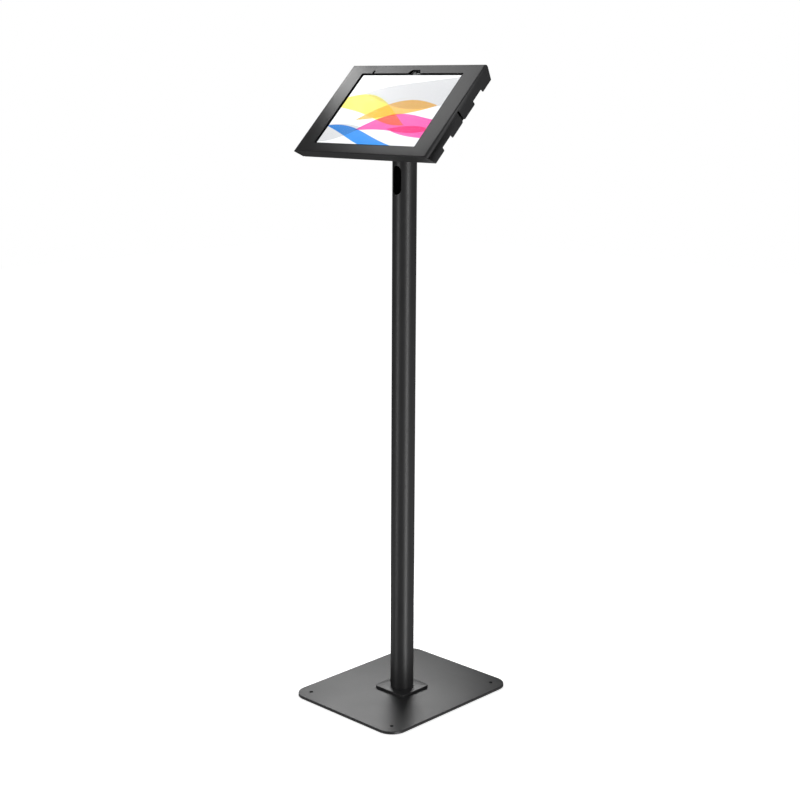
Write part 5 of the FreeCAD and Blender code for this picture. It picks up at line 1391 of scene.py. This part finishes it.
TABLET_RIM = 0.0007
SHELL_WALL = 0.0031
SHELL_BACK = 0.0009
SHELL_CORNER_LESS = 0.003       # how much tighter the hollow's corners are than the shell's
TABLET_CURVE = 16               # segments of the tablet's corners
GLASS_RIM = 0.00025
UNDER_GLASS = 0.00003           # gap between the glass and the layer under it
LAYER = 0.0004                  # depth of the border's and the panel's rear faces under the glass
LAYER_PLAY = 0.00002            # between the panel and the border around it
KEY_DROP = 0.0006               # how far keys, socket and speaker holes lie behind the middle of the edge
SOCKET_SIZE = (0.0086, 0.0028)
SOCKET_DEPTH = 0.008
OPENING_REACH = 0.01            # how far the border's opening is cut to both sides
KEY_HALF = (0.005, 0.0011)      # half length and half height of a key
KEY_SEAT = 0.0016               # how deep a key sits in the shell
KEY_PROUD = 0.0004
KEY_PLAY = 0.0004
VOLUME_KEYS_AT = (-0.0985, -0.0855)
POWER_KEY_AT = 0.036
GRILLES_AT = (-0.050, 0.050)
GRILLE_HOLES = 8
GRILLE_PITCH = 0.0028
GRILLE_HOLE = 0.0008
GRILLE_DEPTH = 0.0012
LENS_RISE = 0.0048              # the camera's place above the lit screen
LENS = (0.0017, 0.0012)         # radius and depth
REFLECTION_SPAN = (0.0008, 0.0056)  # the edges of the patch of painted reflection above the lit screen
REFLECTION_LENGTH = 0.0165
REFLECTION_AT = 0.0112
REFLECTION_CORNER = 0.0015
REFLECTION_LAYER = (0.00005, 0.00001)   # depth of its rear and front faces under the glass
REAR_LENS = 0.0055
REAR_LENS_RIM = 0.0004
REAR_LENS_INSET = 0.014
REAR_LENS_SINK = 0.0003
REAR_LENS_PROUD = 0.0008


class STAND_OT_tablet(Operator):
    """Tablet: shell, glass, black border, lit screen, cameras, keys and socket"""
    bl_idname = "stand.tablet"
    bl_label = "Tablet"

    def execute(self, context):
        t = context.scene.stand_tablet
        put = head_place(context)
        key_z = (t.front + t.back) / 2 - KEY_DROP
        under = t.front - t.glass
        inset = t.glass_inset
        shell = slab(t.length, t.height, t.corner, t.back, t.front, TABLET_CURVE)
        round_over(shell, edges_at(shell, t.back) + edges_at(shell, t.front), TABLET_RIM, 3)
        seat = self.layer(t, inset - PLAY, t.corner - inset, under, t.front + PAST)
        hollow = self.layer(t, SHELL_WALL, t.corner - SHELL_CORNER_LESS, t.back + SHELL_BACK, t.front)
        socket = oval(*SOCKET_SIZE, (t.length / 2 + PAST, 0, key_z), (0, 1, 0), (-1, 0, 0), SOCKET_DEPTH)
        cuts = [seat, hollow, socket] + self.key_pockets(t, key_z) + self.grilles(t, key_z)
        make_piece("tablet_shell_blasted", shell, "turntable", ["tablet_body"], "shell", put, cut=cuts, edge=0.0001)
        glass = self.layer(t, inset, t.corner - inset, under, t.front)
        round_over(glass, edges_at(glass, t.front), GLASS_RIM, 2)
        make_piece("cover_glass_clear", glass, "turntable", ["tablet_glass"], "glass", put, edge=0.0)
        border = self.layer(t, inset + 2 * PLAY, t.corner - inset, under - LAYER, under - UNDER_GLASS)
        opening = self.screen_block(t, 0.0, under - OPENING_REACH, under + OPENING_REACH)
        make_piece("glass_border_printed", border, "turntable", [], "border", put, cut=[opening], edge=0.0)
        self.screen(t, under, put)
        self.cameras(t, under, put)
        self.keys(t, key_z, put)
        return {"FINISHED"}

    def layer(self, t, inset, corner, low, high):
        """A plate that keeps clear of the tablet's edge all round."""
        return slab(t.length - 2 * inset, t.height - 2 * inset, corner, low, high, TABLET_CURVE)

    def screen_block(self, t, inset, low, high):
        half_x, half_y = t.screen_length / 2 - inset, t.screen_height / 2 - inset
        return brick((-half_x, -half_y, low), (half_x, half_y, high))

    def screen(self, t, under, put):
        """The lit panel; its UV map runs over the whole screen."""
        panel = self.screen_block(t, LAYER_PLAY, under - LAYER, under - UNDER_GLASS)
        across = panel.loops.layers.uv.new("screen")
        for face in panel.faces:
            for loop in face.loops:
                spot = loop.vert.co
                loop[across].uv = (spot.x / t.screen_length + 0.5, spot.y / t.screen_height + 0.5)
        make_piece("screen_panel", panel, "turntable", ["tablet_display"], "screen", put, edge=0.0)

    def cameras(self, t, under, put):
        """The camera and, above the screen beside it, a grey patch of painted reflection, and the camera in the back.
        """
        edge = t.screen_height / 2
        radius, depth = LENS
        y = edge + LENS_RISE
        eye = rod(radius, (0, y, under - depth), (0, y, under - LAYER_PLAY), HOLE_SIDES)
        make_piece("front_camera_lens", eye, "turntable", ["front_camera"], "lens", put, edge=0.0001)
        # A grey patch under the glass beside the camera, lighter than the black border: painted reflection in the
        # camera notch.
        low, high = (edge + rise for rise in REFLECTION_SPAN)
        window = slab(REFLECTION_LENGTH, high - low, REFLECTION_CORNER, *(under - depth for depth in REFLECTION_LAYER), 6,
                      (REFLECTION_AT, (low + high) / 2))
        make_piece("sensor_window_smoked", window, "turntable", [], "smoked", put, edge=0.0)
        x, y = REAR_LENS_INSET - t.length / 2, t.height / 2 - REAR_LENS_INSET
        bump = rod(REAR_LENS, (x, y, t.back + REAR_LENS_SINK), (x, y, t.back - REAR_LENS_PROUD), rim=REAR_LENS_RIM)
        make_piece("rear_camera_lens", bump, "turntable", ["rear_camera"], "lens", put, edge=0.0)

    def key_block(self, grow, out, key_z, edge):
        half_x, half_z = (half + grow for half in KEY_HALF)
        return brick((-half_x, edge - KEY_SEAT - grow, key_z - half_z), (half_x, edge + out, key_z + half_z))

    def key_spots(self, t):
        """Where each key sits: the two volume keys on the upper edge and the power key on the left."""
        down, up = (Matrix.Translation((x, 0, 0)) for x in VOLUME_KEYS_AT)
        quarter = Matrix.Rotation(math.pi / 2, 4, "Z")
        turned = Matrix.Translation((t.height / 2 - t.length / 2, POWER_KEY_AT, 0)) @ quarter
        return [("volume_down_key_blasted", "volume_down_key", "volume_down_button", down),
                ("volume_up_key_blasted", "volume_up_key", "volume_up_button", up),
                ("power_key_blasted", "power_key", "power_button", turned)]

    def key_pockets(self, t, key_z):
        return [moved(self.key_block(KEY_PLAY, PAST, key_z, t.height / 2), spot) for *_, spot in self.key_spots(t)]

    def keys(self, t, key_z, put):
        for name, body, stands_for, spot in self.key_spots(t):
            key = moved(self.key_block(0.0, KEY_PROUD, key_z, t.height / 2), spot)
            make_piece(name, key, body, [stands_for], "shell", put, edge=0.0004, steps=3)

    def grilles(self, t, key_z):
        """Speaker holes in both short edges."""
        holes = []
        for way in (-1, 1):
            inner, outer = way * (t.length / 2 - GRILLE_DEPTH), way * (t.length / 2 + PAST)
            for middle in GRILLES_AT:
                for i in range(GRILLE_HOLES):
                    y = middle + (i - (GRILLE_HOLES - 1) / 2) * GRILLE_PITCH
                    holes.append(rod(GRILLE_HOLE, (inner, y, key_z), (outer, y, key_z), 12))
        return holes


class STAND_OT_small_parts(Operator):
    """Gives the inner CAD parts that keep their shape their finishes"""
    bl_idname = "stand.small_parts"
    bl_label = "Small parts"

    def execute(self, context):
        kept = {
            "zinc": ("plug_set_screws", "stud_spring_washers"),
            "steel": ("fork_pins", "tilt_sleeve", "stop_pin", "charge_port"),
            "nylon": ("friction_washers", "turn_washer"),
            "battery": ("tablet_battery",),
            "board": ("tablet_board",),
        }
        for finish, names in kept.items():
            for name in names:
                give_finish(frame["nodes"][name], finish)
        return {"FINISHED"}


# Soft boxes, named like their brightness: place, the point they face, width, height and spread in degrees
LAMPS = (
    ("upper_box", (-0.337, 0.010, 1.287), (0.003, 0.06, 1.30), 0.136, 0.136, 180.0),
    ("right_box", (-0.085, 0.018, 1.291), (0.168, 0.06, 1.153), 0.266, 0.266, 180.0),
    ("front_strip", (-0.90, -3.1, 0.65), (0.0, 0.0, 0.65), 0.36, 3.7, 180.0),
    ("side_strip", (3.1, -0.67, -0.5), (0.0, 0.0, -0.5), 0.62, 3.7, 180.0),
    ("low_box", (-0.519, 0.45, 0.5), (-0.35, 0.096, 0.05), 0.437, 0.268, 100.0),
    ("fold_box", (0.338, -0.028, 1.065), (0.155, -0.06, 1.02), 0.2, 0.47, 180.0),
    ("fold_top", (0.40, -0.105, 1.39), (0.155, -0.06, 1.02), 0.25, 0.25, 180.0),
    ("side_low", (3.1, -0.65, -1.3), (0.0, 0.0, -1.3), 0.95, 2.0, 180.0),
    ("side_fill", (1.0, 1.11, -0.75), (0.0, 0.0, -0.75), 1.9, 2.5, 180.0),
    ("left_fill", (-1.37, -0.61, -1.1), (0.0, 0.0, -1.1), 1.2, 1.9, 180.0),
    ("wall_box", (-0.30, 0.42, 0.52), (0.11, -0.10, 0.96), 0.26, 0.30, 60.0),
)
FLOOR_HALF = 6.0
BACKDROP_WAY = (-0.80, 0.60, 0.05)
BACKDROP_EDGE = (0.62, 0.95)    # the backdrop fades in between these cosines of the angle to its way
CAMERA_AT = (1.7123, -1.7875, 1.0814)
CAMERA_TURN = (43.908, 12.242, 0.285)   # heading, pitch and roll in degrees
CAMERA_LENS = 64.977


class STAND_OT_stage(Operator):
    """Pale floor, even room light, soft boxes and the camera"""
    bl_idname = "stand.stage"
    bl_label = "Stage"

    def execute(self, context):
        scene, look = context.scene, context.scene.stand_stage
        self.floor(look)
        self.room(scene, look)
        for name, spot, aim, width, height, spread in LAMPS:
            self.lamp(scene, name, spot, aim, width, height, spread, getattr(look, name))
        self.camera(scene)
        scene.view_settings.view_transform = "Standard"
        return {"FINISHED"}

    def seen(self, tree):
        """1 for rays from the camera, straight or through glass, and 0 for the others."""
        ray = node(tree, "ShaderNodeLightPath").outputs
        return worked_out(tree, "MAXIMUM", ray["Is Camera Ray"], ray["Is Transmission Ray"])

    def floor(self, look):
        """A pale sheet that glows in the camera's own view and throws no shadow."""
        sheet = bmesh.new()
        bmesh.ops.create_grid(sheet, x_segments=1, y_segments=1, size=FLOOR_HALF)
        floor = to_object("floor", sheet)
        material, tree, shader, spot = new_material("pale_floor", {
            "Roughness": 0.9, "Specular IOR Level": 0.1, "Emission Color": WHITE})
        skin = use_group(tree, "fine_waves", {"Vector": spot, "Scale": 120.0, "Blotch": 1.5})
        tree.links.new(mixed(tree, skin["Blotches"], times(look.floor, 0.99), times(look.floor, 1.01)),
                       shader.inputs["Base Color"])
        tree.links.new(worked_out(tree, "MULTIPLY", self.seen(tree), look.floor_glow),
                       shader.inputs["Emission Strength"])
        floor.data.materials.append(material)
        floor.visible_glossy = False
        floor.visible_shadow = False

    def room(self, scene, look):
        """White to the camera and through glass; gloss sees a backdrop behind the stand and the room around it."""
        world = bpy.data.worlds.new("room")
        world.use_nodes = True
        tree = world.node_tree
        tree.nodes.clear()
        way = node(tree, "ShaderNodeTexCoord").outputs["Generated"]
        towards = node(tree, "ShaderNodeVectorMath", {0: way, 1: Vector(BACKDROP_WAY).normalized()},
                       operation="DOT_PRODUCT")
        behind = ranged(tree, towards.outputs["Value"], *BACKDROP_EDGE, look.room_gloss, look.backdrop, smooth=True)
        gloss = node(tree, "ShaderNodeLightPath").outputs["Is Glossy Ray"]
        lit = mixed_numbers(tree, gloss, look.room, behind)
        strength = mixed_numbers(tree, self.seen(tree), lit, 1.0)
        light = node(tree, "ShaderNodeBackground", {"Color": WHITE, "Strength": strength})
        node(tree, "ShaderNodeOutputWorld", {"Surface": light.outputs[0]})
        scene.world = world

    def lamp(self, scene, name, spot, aim, width, height, spread, brightness):
        """A soft box whose face shines with the given brightness."""
        light = bpy.data.lights.new(name, "AREA")
        light.shape = "RECTANGLE"
        light.size = width
        light.size_y = height
        light.energy = brightness * math.pi * width * height
        light.spread = math.radians(spread)
        spot, aim = Vector(spot), Vector(aim)
        lamp = bpy.data.objects.new(name, light)
        lamp.visible_camera = False
        lamp.matrix_world = Matrix.Translation(spot) @ (aim - spot).to_track_quat("-Z", "Y").to_matrix().to_4x4()
        scene.collection.objects.link(lamp)

    def camera(self, scene):
        """The photograph's viewpoint, with a sensor as wide as the frame."""
        heading, pitch, roll = (math.radians(a) for a in CAMERA_TURN)
        across = Vector((math.cos(heading), math.sin(heading), 0))
        level = Vector((-math.sin(heading), math.cos(heading), 0))
        ahead = level * math.cos(pitch) - Vector(UP) * math.sin(pitch)
        up = across.cross(ahead)
        right = math.cos(roll) * across + math.sin(roll) * up
        top = math.cos(roll) * up - math.sin(roll) * across
        data = bpy.data.cameras.new("camera")
        data.sensor_width = 36.0
        data.lens = CAMERA_LENS
        data.clip_end = 50.0
        camera = bpy.data.objects.new("camera", data)
        camera.matrix_world = Matrix.Translation(CAMERA_AT) @ Matrix((right, top, -ahead)).transposed().to_4x4()
        scene.collection.objects.link(camera)
        scene.camera = camera


STEPS = (STAND_OT_finishes, STAND_OT_stage, STAND_OT_base, STAND_OT_pole, STAND_OT_tilt_joint, STAND_OT_turn_joint,
         STAND_OT_tray, STAND_OT_hinge, STAND_OT_lock, STAND_OT_cover, STAND_OT_tablet, STAND_OT_small_parts)
GROUPS = (("stand_sizes", StandSizes), ("stand_head", HeadSizes), ("stand_enclosure", EnclosureSizes),
          ("stand_tablet", TabletSizes), ("stand_finishes", Finishes), ("stand_screen", ScreenColours),
          ("stand_stage", StageLook))


class STAND_PT_panel(Panel):
    """The stand's sizes, colours and modelling steps"""
    bl_idname = "STAND_PT_panel"
    bl_label = "Tablet Floor Stand"
    bl_space_type = "VIEW_3D"
    bl_region_type = "UI"
    bl_category = "Stand"

    def draw(self, context):
        for step in STEPS:
            self.layout.operator(step.bl_idname)
        for name, group in GROUPS:
            box = self.layout.box()
            for key in group.__annotations__:
                box.prop(getattr(context.scene, name), key)


def register():
    for name, group in GROUPS:
        bpy.utils.register_class(group)
        setattr(bpy.types.Scene, name, PointerProperty(type=group))
    for step in STEPS + (STAND_PT_panel,):
        bpy.utils.register_class(step)


def unregister():
    for step in (STAND_PT_panel,) + STEPS[::-1]:
        bpy.utils.unregister_class(step)
    for name, group in GROUPS[::-1]:
        delattr(bpy.types.Scene, name)
        bpy.utils.unregister_class(group)


def main():
    register()
    for step in STEPS:
        family, name = step.bl_idname.split(".")
        getattr(getattr(bpy.ops, family), name)()


if __name__ == "__main__":
    main()
